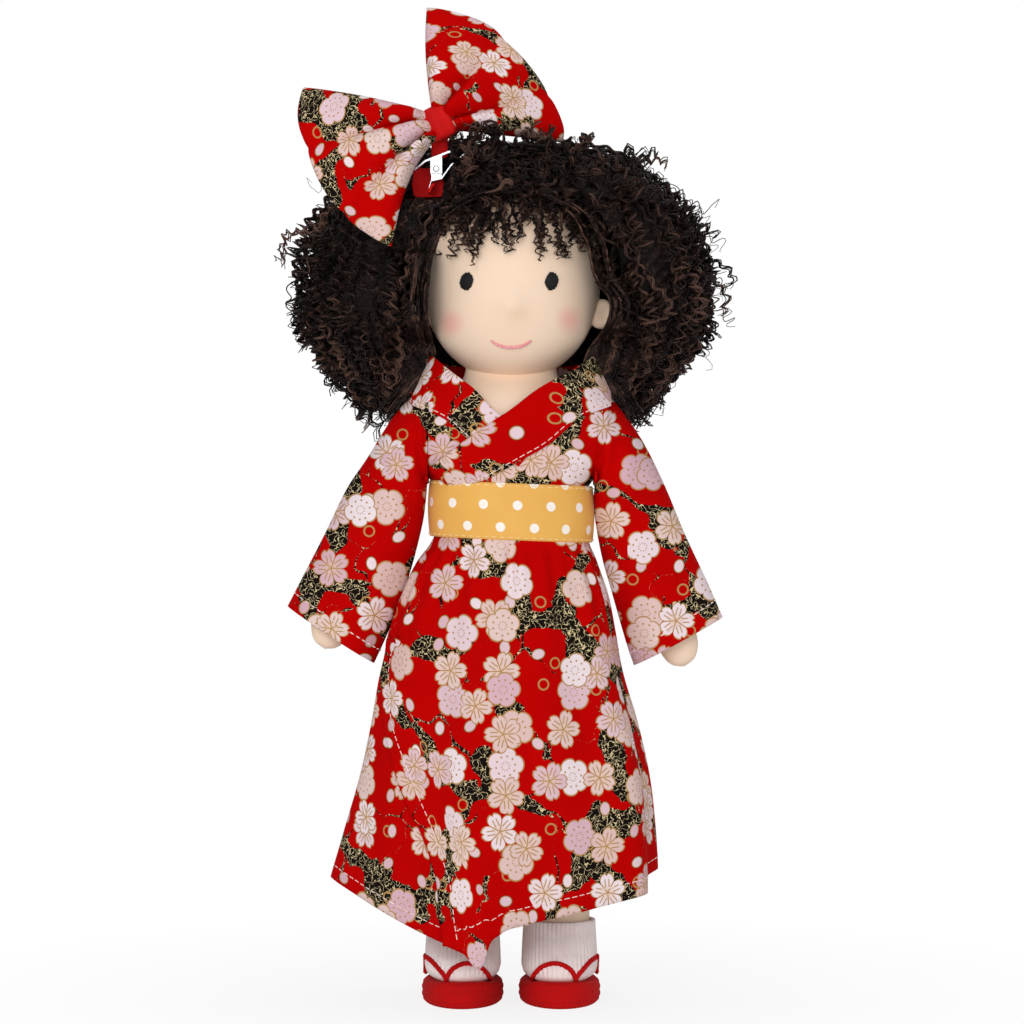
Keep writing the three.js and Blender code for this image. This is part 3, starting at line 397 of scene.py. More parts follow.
def skinLook(name, face=False):
    look, node, shader = startLook(name, 0.85, 0.15, 0.2)
    spot = node("TexCoord", out="Object")
    cloud = node("TexNoise", spot, 24.0, 2.0)
    colour = node("Mix.RGBA", cloud, hexColour(skinCloth["shade"]), hexColour(skinCloth["light"]))
    if face:
        place = node("SeparateXYZ", spot).node.outputs
        front = node("Math.LESS_THAN", place[1], skinCloth["front"] * mm)
        for (x, z), squeeze, outer, inner, strength, code in skinCloth["rougeAndNoseShadow"]:
            # round rouge on the cheeks and a painted shadow beside the nose, fading outwards
            away = node("VectorMath.SUBTRACT", spot, (x * mm, 0, z * mm))
            reach = node("VectorMath.LENGTH", node("VectorMath.MULTIPLY", away, (1, 0, squeeze)))
            glow = node("MapRange.SMOOTHSTEP", reach, outer * mm, inner * mm, 0.0, strength)
            colour = node("Mix.RGBA", node("Math.MULTIPLY", glow, front), colour, hexColour(code))
        # painted shadow of the hair on the forehead, darker towards the hairline
        low, high, strength, code = skinCloth["brow"]
        brow = node("MapRange", place[2], low * mm, high * mm, 0.0, strength)
        colour = node("Mix.RGBA", brow, colour, hexColour(code))
    columns = node("TexWave.X", spot, 2 * pi / (skinCloth["knit"] * mm) / 20, 1.2, 2.0, 2.0)
    return finishLook(look, shader, colour, columns, 0.08, 0.0002)


def fibreLook(name, dark, light, roughness, grain, strength, sheen=0.3):
    # plain dyed cloth or yarn: a slow change of tone, and fine fibres as grain; grain in mm
    look, node, shader = startLook(name, roughness, sheen, 0.25)
    spot = node("TexCoord", out="Object")
    cloud = node("TexNoise", spot, 0.04 / (grain * mm), 4.0)
    fuzz = node("TexNoise", spot, 1 / (grain * mm), 3.0)
    spread = node("MapRange", node("Math.MULTIPLY", cloud, fuzz), 0.14, 0.36)
    colour = node("Mix.RGBA", spread, hexColour(dark), hexColour(light))
    return finishLook(look, shader, colour, fuzz, strength, 0.0004)


# Obi cotton: smooth golden cotton with white printed dots in offset rows, 4.3 mm wide.
obiCloth = {"ground": "#EDB558", "shade": "#E3A748", "dot": "#F8F1E8", "step": (15.5, 20.0), "radius": 2.15,
            "phase": (-2.9, -2.9), "ink": 0.15}


def obiLook():
    look, node, shader = startLook("dottedCotton", 0.6, 0.08, 0.35)
    uv = node("UVMap", uv_map="clothMap")
    wash = node("TexNoise", uv, 0.06, 2.0)
    colour = node("Mix.RGBA", wash, hexColour(obiCloth["shade"]), hexColour(obiCloth["ground"]))
    step, ink = np.array(obiCloth["step"]), obiCloth["ink"]
    for share in (0.0, 0.5):
        # the distance to the nearest point of a rectangular dot grid
        moved = node("VectorMath.ADD", uv, (*(obiCloth["phase"] + (share + 0.5) * step), 0))
        nearest = node("VectorMath.SNAP", moved, (*step, 1.0))
        local = node("VectorMath.SUBTRACT", node("VectorMath.SUBTRACT", moved, nearest), (*step / 2, 0))
        reach = node("VectorMath.LENGTH", node("VectorMath.MULTIPLY", local, (1, 1, 0)))
        dot = node("MapRange", reach, obiCloth["radius"] + ink, obiCloth["radius"] - ink)
        colour = node("Mix.RGBA", dot, colour, hexColour(obiCloth["dot"]))
    return finishLook(look, shader, colour, node("TexNoise", uv, 2.2, 2.0), 0.08, 0.0002)


# Mohair locks: dyed near-black goat hair, crimped; dark, with a painted brown highlight on the turns of the
# curls.
hairCloth = {"stops": ((0.0, "#080404"), (0.3, "#1C110E"), (0.62, "#5E443A")), "curl": 3.4, "lock": 6.25}


def hairLook():
    look, node, shader = startLook("curlyMohair", 0.55, 0.0, 0.14)
    spot = node("TexCoord", out="Object")
    tone = node("Attribute", out="Fac", attribute_name="tone")
    lock = node("TexNoise", spot, 1 / (hairCloth["lock"] * mm), 2.0)
    # winding fine lines of painted brown highlight stand for light on the turns of the small curls of the
    # dense inner hair, and also give them relief
    wind = node("TexNoise", spot, 1 / (hairCloth["curl"] * mm), 1.0, Distortion=2.2)
    near = node("Math.ABSOLUTE", node("Math.SUBTRACT", wind, 0.5))
    curlGleamLines = node("MapRange", near, 0.09, 0.0, 0.0, 0.85)
    mixed = node("Math.MULTIPLY", node("Math.MAXIMUM", tone, curlGleamLines), lock)
    ramp = node("ValToRGB", mixed).node
    for place, code in hairCloth["stops"]:
        ramp.color_ramp.elements.new(place).color = hexColour(code)
    for end in (0, -1):
        ramp.color_ramp.elements.remove(ramp.color_ramp.elements[end])
    return finishLook(look, shader, ramp.outputs[0], curlGleamLines, 0.35, 0.0006)


# Clip steel: nickel plated spring steel, stamped; bright with a faint brushed grain.
steelPlate = {"dark": "#96999E", "light": "#B9BCC0", "grain": 1.1111}


def steelLook():
    look, node, shader = startLook("platedSteel", 0.3, 0.0, 0.5)
    shader.inputs["Metallic"].default_value = 1.0
    grain = node("TexNoise", node("TexCoord", out="Object"), 1 / (steelPlate["grain"] * mm), 2.0)
    colour = node("Mix.RGBA", grain, hexColour(steelPlate["dark"]), hexColour(steelPlate["light"]))
    return finishLook(look, shader, colour, grain, 0.05, 0.0001)


# Dyed yarns, threads and plain cloths: dark and light tone, roughness, grain in mm, relief and sheen.
# The eye sees matt fibres with a slow change of tone; floss and sewing thread are a little smoother.
fibres = {
    "sock": ("ribbedCottonKnit", "#F2DEDB", "#FFF6F4", 0.9, 0.5, 0.25),
    "sandal": ("redWoolYarn", "#B40001", "#CC0002", 0.9, 0.6, 0.5, 0.0),
    "ribbon": ("redCottonRibbon", "#BC0203", "#D00405", 0.8, 0.4, 0.15, 0.0),
    "eye": ("blackEmbroideryFloss", "#020202", "#070606", 0.45, 0.3, 0.6, 0.0),
    "lip": ("pinkEmbroideryFloss", "#E38E98", "#F2AAB0", 0.6, 0.3, 0.2, 0.1),
    "thread": ("paleSewingThread", "#E9C9C6", "#FBEDE6", 0.6, 0.3, 0.1, 0.1),
    "goldThread": ("goldenSewingThread", "#F2C879", "#FCE0A6", 0.6, 0.3, 0.1, 0.1),
    "cap": ("darkCapKnit", "#0E0908", "#1D1312", 0.95, 0.8, 0.4, 0.0),
    "tape": ("ivoryClosureTape", "#DDD6C8", "#F1ECE1", 0.9, 0.5, 0.5),
}
looks = {"kimono": kimonoLook(), "skin": skinLook("cottonJersey"), "face": skinLook("facedJersey", True),
         "obi": obiLook(), "hair": hairLook(), "steel": steelLook()}
looks.update({key: fibreLook(*fibre) for key, fibre in fibres.items()})
print("materials:", len(looks))


# Stage: white floor and surround, soft studio lamps, and the camera in front of the doll at half its height.
# The camera's places are in metres; a lamp is its place, width and power.
studio = {"distance": 1.6, "height": 0.236, "aim": 0.2219, "frame": 0.4672, "aside": 0.0004, "sensor": 36.0,
          "lampAim": 0.22, "world": 0.45, "floor": 40000.0,
          "lamps": {"keyLamp": ((-0.55, -2.0, 0.8), 1.0, 16.0), "fillLamp": ((0.5, -1.9, 0.08), 1.2, 10.0),
                    "topLamp": ((0.1, 0.4, 2.0), 1.5, 7.0)}}


def makeFloor():
    look, node, shader = startLook("paintedWhiteFloor", 0.9, 0.0, 0.1)
    spot = node("TexCoord", out="Object")
    paint = node("Mix.RGBA", node("TexNoise", spot, 1.5), hexColour("#F4F4F4"), hexColour("#F8F8F8"))
    look.node_tree.links.new(paint, shader.inputs["Base Color"])
    # seen directly the floor is nearly white paper, and keeps a faint shadow under the feet
    rays = node("LightPath").node.outputs
    seen = node("Math.MAXIMUM", rays["Is Camera Ray"], rays["Is Glossy Ray"])
    fade = node("MapRange", node("VectorMath.LENGTH", spot), 0.08, 0.3, 0.84, 1.0)
    paper = node("Emission", (1, 1, 1, 1), 1.0)
    both = node("MixShader", node("Math.MULTIPLY", seen, fade), shader.outputs[0], paper)
    look.node_tree.links.new(both, look.node_tree.nodes["Material Output"].inputs["Surface"])
    u, v = grid(2, 2)
    corners = np.stack([(u - 0.5) * studio["floor"], (v - 0.5) * studio["floor"] - faceShift, 0 * u], -1)
    makePiece("floor", corners, look)


def makeLight():
    world = bpy.data.worlds.new("whiteSurround")
    scene.world = world
    world.use_nodes = True
    node = partial(addNode, world.node_tree)
    rays = node("LightPath").node.outputs
    seen = node("Math.MAXIMUM", rays["Is Camera Ray"], rays["Is Glossy Ray"])
    level = node("MapRange", seen, 0.0, 1.0, studio["world"], 1.0)
    back = world.node_tree.nodes["Background"]
    back.inputs["Color"].default_value = (1, 1, 1, 1)
    world.node_tree.links.new(level, back.inputs["Strength"])
    for name, (place, size, power) in studio["lamps"].items():
        lamp = bpy.data.lights.new(name, "AREA")
        lamp.shape = "DISK"
        lamp.size = size
        lamp.energy = power
        holder = bpy.data.objects.new(name, lamp)
        holder.location = place
        x, y, z = np.array((0, 0, studio["lampAim"])) - np.array(place)
        holder.rotation_euler = (math.acos(-z / math.hypot(x, y, z)), 0, math.atan2(y, x) - pi / 2)
        scene.collection.objects.link(holder)


def makeCamera():
    lens = bpy.data.cameras.new("photoCamera")
    lens.sensor_width = studio["sensor"]
    lens.lens = studio["sensor"] * studio["distance"] / studio["frame"]
    camera = bpy.data.objects.new("photoCamera", lens)
    camera.location = (studio["aside"], faceShift * mm - studio["distance"], studio["height"])
    tilt = math.atan2(studio["aim"] - studio["height"], studio["distance"])
    camera.rotation_euler = (pi / 2 + tilt, 0, 0)
    scene.collection.objects.link(camera)
    scene.camera = camera


makeFloor()
makeLight()
makeCamera()
print("stage ready")


# Head: a stuffed ball with full cheeks, a small nose and a soft line at the eyes
head = {"chin": 282.0, "wide": 82.0, "deep": 84.0, "high": 96.0, "cheek": 2.14, "crown": 2.15,
        "nose": (0.0, 314.0, 4.6, 2.6), "eyeLine": 326.0, "eyeDip": 0.42}


def headShare(lift):
    # superellipsoid: the ring's share of the full width falls off with the height's power, fuller below
    power = np.where(lift < 0, head["cheek"], head["crown"])
    return np.clip(1 - np.abs(lift) ** power, 0, 1) ** (1 / power)


def headPoint(turn, lift, grow=0.0):
    z = head["chin"] + head["high"] / 2 + lift * (head["high"] / 2 + grow)
    x = (head["wide"] / 2 + grow) * headShare(lift) * np.cos(turn)
    y = (head["deep"] / 2 + grow) * headShare(lift) * np.sin(turn)
    front = smooth(0.2, 0.8, -np.sin(turn))
    noseX, noseZ, noseReach, noseHigh = head["nose"]
    bump = noseHigh * np.exp(-((x - noseX) ** 2 + (z - noseZ) ** 2) / (2 * noseReach ** 2))
    dip = head["eyeDip"] * np.exp(-((z - head["eyeLine"]) / 7) ** 2)
    return np.stack([x, y - front * (bump - dip), z], -1)


def facePoint(x, z, grow=0.0):
    # the point of the face in front of a place in the front view
    lift = np.clip((z - head["chin"] - head["high"] / 2) / (head["high"] / 2 + grow), -0.999, 0.999)
    ratio = np.clip(x / ((head["wide"] / 2 + grow) * headShare(lift)), -1, 1)
    return headPoint(-np.arccos(ratio), lift, grow)


def makeHead():
    u, v = grid(97, 145)
    ball = weld(makePiece("head_cloth", headPoint(2 * pi * u, -np.cos(pi * v)), looks["face"]))
    attach(ball, "cotton_skin", "head", ("head_skin", "head_stuffing"), 0.95)


# Eyes: satin stitch, threads side by side from the upper to the lower edge of an oval
eyes = {"x": 19.0, "middle": -0.9, "z": 325.0, "halfWide": 2.75, "halfHigh": 3.95, "threads": 15,
        "radius": 0.33, "slant": 0.25, "seed": {-1: 5, 1: 6}}


def makeEye(sideName, side):
    rng = np.random.default_rng(eyes["seed"][side])
    share = np.linspace(-0.97, 0.97, eyes["threads"])
    reach = eyes["halfHigh"] * np.sqrt(1 - share ** 2) + rng.uniform(-0.25, 0.35, eyes["threads"])
    along = np.linspace(-1, 1, 14)
    x = eyes["middle"] + side * eyes["x"] + share[:, None] * eyes["halfWide"] + eyes["slant"] * along
    z = eyes["z"] + reach[:, None] * along
    lift = 0.15 + 0.75 * np.sqrt(np.clip(1 - along ** 2, 0, 1)) * (1 - 0.5 * share[:, None] ** 2)
    face = facePoint(x, z)
    paths = face + (facePoint(x, z, 1.0) - face) * lift[..., None]
    radii = np.broadcast_to(eyes["radius"] * (1 - 0.35 * along ** 6), x.shape)
    points, faces = tubeField(paths, radii, 6)
    eye = makePiece("eye_satin_" + sideName, points, looks["eye"], faces)
    attach(eye, "eye_thread", "head", ["eye_" + sideName])


# Mouth: a bowed backstitch line of six-strand floss, ending in small tucks
mouth = {"half": 9.0, "z": 298.8, "sag": 3.1, "stitches": 11, "radius": 0.72}


def makeMouth():
    edges = np.linspace(-1, 1, mouth["stitches"] + 1)
    share = np.linspace(0, 1, 7)
    at = edges[:-1, None] + (edges[1] - edges[0]) * (share * 1.1 - 0.05)
    x = mouth["half"] * at
    z = mouth["z"] - mouth["sag"] * (1 - np.clip(np.abs(at), 0, 1) ** 2.5)
    face = facePoint(x, z)
    paths = face + (facePoint(x, z, 1.0) - face) * (0.05 + 0.5 * np.sin(pi * share))[None, :, None]
    radii = mouth["radius"] * (0.55 + 0.45 * np.sin(pi * share)) * (1.15 - 0.45 * np.abs(at) ** 2)
    points, faces = tubeField(paths, radii, 7)
    attach(makePiece("mouth_stitch", points, looks["lip"], faces), "lip_thread", "head", ["mouth"])


# Ears: small flat pads sewn at the sides of the head, with a dished front
ears = {"x": 41.0, "y": -4.0, "z": 312.0, "half": (6.4, 3.6, 6.8)}


def makeEar(sideName, side):
    u, v = grid(25, 33)
    lift, turn = -np.cos(pi * v), 2 * pi * u
    ring = np.sqrt(np.clip(1 - lift ** 2, 0, 1))
    wide, deep, high = ears["half"]
    x, y = ring * np.cos(turn), ring * np.sin(turn)
    dish = 0.55 * np.exp(-(((x * side - 0.25) / 0.45) ** 2 + (lift / 0.5) ** 2)) * smooth(0, 0.4, -y)
    points = np.stack([side * ears["x"] + wide * x, ears["y"] + deep * (y + dish),
                       ears["z"] + high * lift], -1)
    ear = weld(makePiece("ear_pad_" + sideName, points, looks["skin"]))
    attach(ear, "cotton_skin", "head", ["ear_" + sideName], 0.7)


makeHead()
for sideName, side in bothSides:
    makeEye(sideName, side)
    makeEar(sideName, side)
makeMouth()
print("head and face made")


# Torso with its neck; half width and half depth by height
torso = {"z": (166.5, 171, 187, 208, 237, 244, 255, 265, 272, 277, 281, 284, 291.5),
         "wide": (24, 32, 33, 31.5, 31.5, 38, 43, 43, 36, 28, 23, 21.4, 20.5),
         "deep": (14, 20, 22, 21.5, 21.5, 22, 24, 25, 23.5, 20.5, 16.5, 13.5, 12)}


def makeTorso():
    u, v = grid(70, 73)
    z = torso["z"][0] + v * (torso["z"][-1] - torso["z"][0])
    wide, deep = profile(torso, z, "wide", "deep")
    turn = 2 * pi * u
    points = np.stack([wide * capped(v) * np.cos(turn), deep * capped(v) * np.sin(turn), z], -1)
    trunk = weld(makePiece("body_cloth", points, looks["skin"]))
    attach(trunk, "cotton_skin", "torso", ("torso_skin", "torso_stuffing"), 0.9)


# Arms: rings round a line in the front view, each leaning with the limb; the hands hang a little differently
arm = {"out": (43.8, 47.2, 52.2, 63, 75, 79, 80.6, 81.6, 82.2),
       "up": (257, 250, 240, 214, 177, 163, 157, 153.4, 151.4),
       "half": (9.6, 9.2, 8.6, 9.8, 8.8, 9.3, 7.8, 5.0, 0.0),
       "deep": (9.6, 9.4, 9.3, 9.6, 8.0, 6.9, 5.8, 3.8, 0.0),
       "hand": {-1: (3.0, 8.0), 1: (-3.0, 0.0)}, "seam": 0.05}


def makeArm(sideName, side):
    u, v = grid(90, 49)
    knots = np.linspace(0, 1, len(arm["up"]))
    out, z, half, deep = (through(v, knots, arm[key]) for key in ("out", "up", "half", "deep"))
    low = smooth(215, 165, z)
    out, z = out + arm["hand"][side][0] * low, z + arm["hand"][side][1] * low
    lean = np.arctan2(np.gradient(out[:, 0]), -np.gradient(z[:, 0]))[:, None]
    turn = 2 * pi * u
    # a seam down the outer edge of the hand draws in a little
    seam = (1 - arm["seam"] * np.exp(-((np.mod(turn + pi, 2 * pi) - pi) / 0.12) ** 2)) * capped(v)
    across = np.clip(half, 0, None) * np.cos(turn) * seam
    points = np.stack([side * (out + across * np.cos(lean)), np.clip(deep, 0, None) * np.sin(turn) * seam,
                       z + across * np.sin(lean)], -1)
    limb = weld(makePiece("arm_cloth_" + sideName, points, looks["skin"]))
    attach(limb, "cotton_skin", "arm_" + sideName, ("arm_skin_" + sideName, "arm_stuffing_" + sideName), 0.85)


# Legs: ovals from toe to heel by height, round a line this far from the doll's middle
legMiddle = 22.0
leg = {"z": (13.5, 17, 22, 28, 34, 40, 75, 98, 128, 143, 154, 160.5, 164.6, 165.2),
       "wide": (11.6, 13.6, 14, 13.9, 13.7, 13.8, 15.5, 14.8, 16, 16, 15, 12, 6.5, 0),
       "toe": (-26, -28, -24.5, -17.5, -14, -13.6, -15.5, -14.8, -16, -16, -15, -12, -6.5, 0),
       "heel": (15, 17.3, 17.6, 16, 14, 13.6, 15.5, 14.8, 16, 16, 15, 12, 6.5, 0)}


def footRing(turn, x, wide, toe, heel):
    return x + wide * np.cos(turn), (toe + heel) / 2 + (heel - toe) / 2 * np.sin(turn)


def makeLeg(sideName, side):
    u, v = grid(110, 49)
    z = leg["z"][0] + v * (leg["z"][-1] - leg["z"][0])
    wide, toe, heel = (size * capped(v) for size in profile(leg, z, "wide", "toe", "heel"))
    x, y = footRing(2 * pi * u, side * legMiddle, wide, toe, heel)
    limb = weld(makePiece("leg_cloth_" + sideName, np.stack([x, y, z], -1), looks["skin"]))
    attach(limb, "cotton_skin", "leg_" + sideName, ("leg_skin_" + sideName, "leg_stuffing_" + sideName), 0.85)


makeTorso()
for sideName, side in bothSides:
    makeArm(sideName, side)
    makeLeg(sideName, side)
print("body and limbs made")


# Socks: rib knit that follows the foot, with a turned top edge
sock = {"z": (10.5, 12.5, 15.4, 20.4, 25.4, 30.4, 36.2),
        "wide": (12.5, 15.6, 16.9, 17.0, 16.8, 16.5, 16.2),
        "toe": (-29, -32.4, -33.6, -30.8, -24.4, -18.8, -16.2),
        "heel": (17, 20.4, 21.6, 22, 20.6, 18.2, 16.2),
        "ribs": 50, "ribDeep": 0.34, "rows": 64, "wallRows": 56, "turnIn": 1.3, "turnDown": 0.8}


def makeSock(sideName, side):
    u, v = grid(sock["rows"], 6 * sock["ribs"] + 1)
    row = np.arange(sock["rows"])[:, None] + 0 * u
    low, high = sock["z"][0], sock["z"][-1]
    # the last rows turn over the top edge and run a little way down inside
    inside = row >= sock["wallRows"]
    z = np.where(inside, high - (row - sock["wallRows"]) * sock["turnDown"],
                 low + row / (sock["wallRows"] - 1) * (high - low))
    wide, toe, heel = profile(sock, z, "wide", "toe", "heel")
    rib = sock["ribDeep"] * (np.cos(2 * pi * sock["ribs"] * u) - 0.4) * smooth(12, 17, z)
    grow = rib - sock["turnIn"] * inside
    # the first row closes under the foot
    middle, wall = (toe + heel) / 2, row > 0
    x, y = footRing(2 * pi * u, side * legMiddle, (wide + grow) * wall, np.where(wall, toe - grow, middle),
                    np.where(wall, heel + grow, middle))
    knit = weld(makePiece("sock_rib_" + sideName, np.stack([x, y, z], -1), looks["sock"]), outward=False)
    attach(knit, "sock_knit", "leg_" + sideName, ["sock_" + sideName], flat=(0.112, 0.05), held="stretched",
           rests_on=["leg_cloth_" + sideName], area=0.0048)


# Sandals: a thick knitted sole, round at the rim and swollen towards the toes, and a thong of yarn
sole = {"high": 10.2, "half": 18.2, "toe": -37.5, "heel": 25.0, "swell": 1.7, "ridges": 6, "stitches": 60,
        "rimStart": 0.2, "rimEnd": 0.75, "rim": 3.0, "knit": 0.3}


def makeSole(sideName, side):
    u, v = grid(64, 4 * sole["stitches"] + 1)
    turn = 2 * pi * u
    # section from the middle of the bottom, round the rim, to the middle of the top
    start, end = sole["rimStart"], sole["rimEnd"]
    bend = np.clip((v - start) / (end - start), 0, 1) * pi - pi / 2
    inset = np.where(v < start, 1 - v / start, np.where(v > end, (v - end) / (1 - end), 0))
    z = sole["high"] / 2 * (1 + np.sign(np.sin(bend)) * np.abs(np.sin(bend)) ** 0.8)
    rows = np.abs(np.sin(sole["ridges"] * bend)) * (1 + 0.6 * np.cos(sole["stitches"] * turn)) * (inset <= 0)
    out = sole["rim"] * (np.abs(np.cos(bend)) ** 0.7 - 1) + sole["knit"] * rows
    middle = (sole["toe"] + sole["heel"]) / 2
    keep = 1 - inset
    x, y = footRing(turn, 0.0, (sole["half"] + out) * keep, middle + (sole["toe"] - out - middle) * keep,
                    middle + (sole["heel"] + out - middle) * keep)
    front = smooth(-12, -32, y) * smooth(0.4, 0.62, v)
    z = z + front * sole["swell"] * np.clip(1 - (x / 18) ** 2, 0, 1)
    points = np.stack([x + side * legMiddle, y, z], -1)
    pad = weld(makePiece("sandal_pad_" + sideName, points, looks["sandal"]))
    attach(pad, "sandal_knit", "leg_" + sideName, ["sandal_sole_" + sideName], 0.9)


# front view of the two straps from the post, as distance outwards from the foot's middle and height
strap = {"inner": ((7.0, 6.6, 4.0, -1.5, -7.5, -11.5, -13.2), (10.0, 14.0, 17.8, 20.0, 18.6, 14.5, 9.5)),
         "outer": ((7.0, 7.4, 10.0, 13.4, 15.6, 17.0, 17.2), (10.0, 13.6, 16.6, 19.4, 20.2, 20.4, 20.4)),
         "radius": 0.62, "strands": 3, "lay": 4.2, "twist": 0.6, "points": 80}


def sockFront(x, z):
    # depth of the sock's front at a place in the front view
    wide, toe, heel = profile(sock, z, "wide", "toe", "heel")
    return (toe + heel) / 2 - (heel - toe) / 2 * np.sqrt(np.clip(1 - (x / wide) ** 2, 0, 1))


def makeStrap(sideName, side):
    paths = []
    t, knots = np.linspace(0, 1, strap["points"]), np.linspace(0, 1, len(strap["inner"][0]))
    for key in ("inner", "outer"):
        x, z = (through(t, knots, line) for line in strap[key])
        y = sockFront(np.clip(x, -16.4, 16.4), np.maximum(z, 11.5))
        if key == "outer":
            # round the side of the foot and back down to the sole
            y = y + 16 * smooth(0.72, 1.0, t)
            x = np.where(t > 0.72, np.maximum(x, 16.9), x)
            z = z - 9.6 * smooth(0.8, 1.0, t) ** 1.5
        line = np.column_stack([side * (legMiddle + x), y - 0.45, z])
        tangent = unit(np.gradient(line, axis=0))
        sideways = unit(np.cross(tangent, (0, -1.0, 0.2)))
        upward = np.cross(sideways, tangent)
        for k in range(strap["strands"]):
            # strands laid round each other, one turn in every lay length
            turn = (2 * pi * arcLength(line, 0) / strap["lay"] + 2 * pi * k / strap["strands"])[:, None]
            paths.append(line + strap["twist"] * (np.cos(turn) * sideways + 0.7 * np.sin(turn) * upward))
    paths = np.array(paths)
    points, faces = tubeField(paths, np.full(paths.shape[:2], strap["radius"]), 7)
    thong = makePiece("sandal_thong_" + sideName, points, looks["sandal"], faces)
    attach(thong, "sandal_knit", "leg_" + sideName, ["sandal_strap_" + sideName])


for sideName, side in bothSides:
    makeSock(sideName, side)
    makeSole(sideName, side)
    makeStrap(sideName, side)
print("feet made")


# Kimono: wrapped cotton panels on one body surface, half widths right and left and half depth by height
gown = {"z": (10, 45, 75, 103, 126, 150, 168, 185, 200, 208, 235, 243, 255, 267, 279, 295),
        "right": (64, 66.5, 65.8, 62.8, 57.6, 50.5, 47, 43, 37.5, 34.7, 34.7, 42, 52, 50, 42, 35.0),
        "left": (81.5, 82.5, 75.2, 67.6, 63, 59, 54, 48, 40.5, 34.7, 34.7, 42, 52, 50, 42, 35.0),
        "deep": (51, 50, 48, 45, 42, 38, 34, 30.5, 26.5, 24.7, 24.7, 26.5, 27.5, 27.5, 30, 33.3),
        "armhole": 43.8, "cloth": 0.7, "waist": 208.0, "tuck": 2.4, "stand": 6.0, "bodiceLow": 219.0}


def gownPoint(turn, z, lift):
    # ring of the body surface at a height; soft folds deepen below the obi, small gathers just under it
    right, left, deep = profile(gown, z, "right", "left", "deep")
    wide = np.where(np.cos(turn) >= 0, right, left)
    drop = np.clip((gown["waist"] - z) / 190, 0, 1)
    fold = drop ** 0.7 * (3.0 * np.cos(6 * turn + 3.25 + drop) + 1.9 * np.cos(11 * turn + 1.75 - 1.4 * drop))
    near = smooth(208, 200, z) * smooth(150, 188, z)
    gather = near * (0.55 * np.cos(26 * turn) + 0.4 * np.cos(17 * turn + 1.0))
    # a pinched tuck below the middle of the obi
    tuck = gown["tuck"] * smooth(212, 204, z) * smooth(172, 196, z) * np.exp(-((turn + pi / 2) / 0.06) ** 2)
    # the low corner of the wrap stands off the left leg, which swings under it
    stand = gown["stand"] * smooth(85, 32, z) * np.exp(-((turn + 1.85) / 0.42) ** 2)
    out = lift + fold + gather - tuck + stand
    return np.stack([(wide + out) * np.cos(turn), (deep + out) * np.sin(turn), z + 0 * turn], -1)


def outwardOf(points):
    # the cloth's normals from the grid's two directions
    return unit(np.cross(np.gradient(points, axis=1), np.gradient(points, axis=0)))


def bendAtHip(piece):
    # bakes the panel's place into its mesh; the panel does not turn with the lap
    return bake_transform(piece)


# edges and seams of the skirt as lines in the front view
overEdge = {"z": (22, 30, 41, 60, 73, 95, 110, 130, 147.5, 167, 177),
            "x": (-25.5, -26.9, -28.9, -32.3, -38.2, -47.5, -51.5, -56.0, -56.5, -55, -60)}
overHem = {"x": (-28, -21.2, -11.9, -9.7, -4.9, 7.1, 31.8, 61, 70),
           "z": (31, 28.3, 24.3, 31.4, 36.3, 39.8, 44.7, 50.9, 52.5)}
overSeam = {"x": (-28, -19.5, -0.9, 19, 48.2, 70), "z": (37.5, 39.8, 45.6, 50, 55.7, 59)}
underHem = {"x": (-84, -77.8, -60, -40.3, -28, -16, 0, 22), "z": (58, 54.5, 45.2, 35.8, 31.8, 31, 41, 47)}
backHem = {"x": (-90, -78, -60, -30, 30, 52, 66, 90), "z": (60, 57, 50, 44, 46, 53, 59, 62)}
skirt = {"top": 221.0, "rows": 120, "columns": 121, "sideSeam": -0.43, "backSeam": -0.5, "underEnd": 18.0,
         "overLift": 1.9, "underLift": 0.5, "backLift": 1.0, "margin": 7, "hemRow": -5}


def hemHeights(turns, hem, lift, u):
    # the height at which each column of a panel meets a line drawn in the front view, by repeated halving
    low = np.full(len(u), 40.0)
    for _ in range(25):
        start, stop = turns(low)
        x = gownPoint(start + (stop - start) * u, low, lift)[:, 0]
        low = 0.5 * low + 0.5 * through(x, hem["x"], hem["z"])
    return low


def skirtPanel(name, turns, hem, lift, node, flat, area, middle):
    # columns from one edge to the other, each running from under the obi down to the hem line
    u, v = grid(skirt["rows"], skirt["columns"])
    z = skirt["top"] + (hemHeights(turns, hem, lift, u[0]) - skirt["top"]) * v
    start, stop = turns(z)
    turn = start + (stop - start) * u
    points = gownPoint(turn, z, lift)
    along = arcLength(points, 1)
    straight = np.array([np.interp(middle, a, b) for a, b in zip(turn, along)])
    uv = np.stack([along - straight[:, None], z], -1)
    piece = thicken(makePiece(name, points, looks["kimono"], uv=uv, flip=True), gown["cloth"])
    bendAtHip(piece)
    attach(piece, "kimono_cotton", None, [node], flat=flat, held="hung", rests_on=["obi_band"], area=area)
    return points, outwardOf(points)


def hangStitches(name, panel, place):
    # stitches along a chosen line of a panel's grid
    line, lift = panel
    bendAtHip(stitchRow(name, line[place], lift[place], looks["thread"], "kimono_cotton"))


def overTurns(z):
    ratio = through(z, overEdge["z"], overEdge["x"]) / through(z, gown["z"], gown["left"])
    return -np.arccos(np.clip(ratio, -1, 1)), skirt["sideSeam"] + 0 * z


def underTurns(z):
    ratio = skirt["underEnd"] / through(z, gown["z"], gown["right"])
    return -pi + 0 * z, -np.arccos(np.clip(ratio, -1, 1))


def backTurns(z):
    return skirt["backSeam"] + 0 * z, pi + 0 * z


overPanel = skirtPanel("skirt_over", overTurns, overHem, skirt["overLift"], "skirt_front_over",
                       (0.165, 0.205), 0.0245, -pi / 2)
underPanel = skirtPanel("skirt_under", underTurns, underHem, skirt["underLift"], "skirt_front_under",
                        (0.125, 0.205), 0.0195, -pi / 2)
rearPanel = skirtPanel("skirt_rear", backTurns, backHem, skirt["backLift"], "skirt_back",
                       (0.205, 0.18), 0.03, pi / 2)
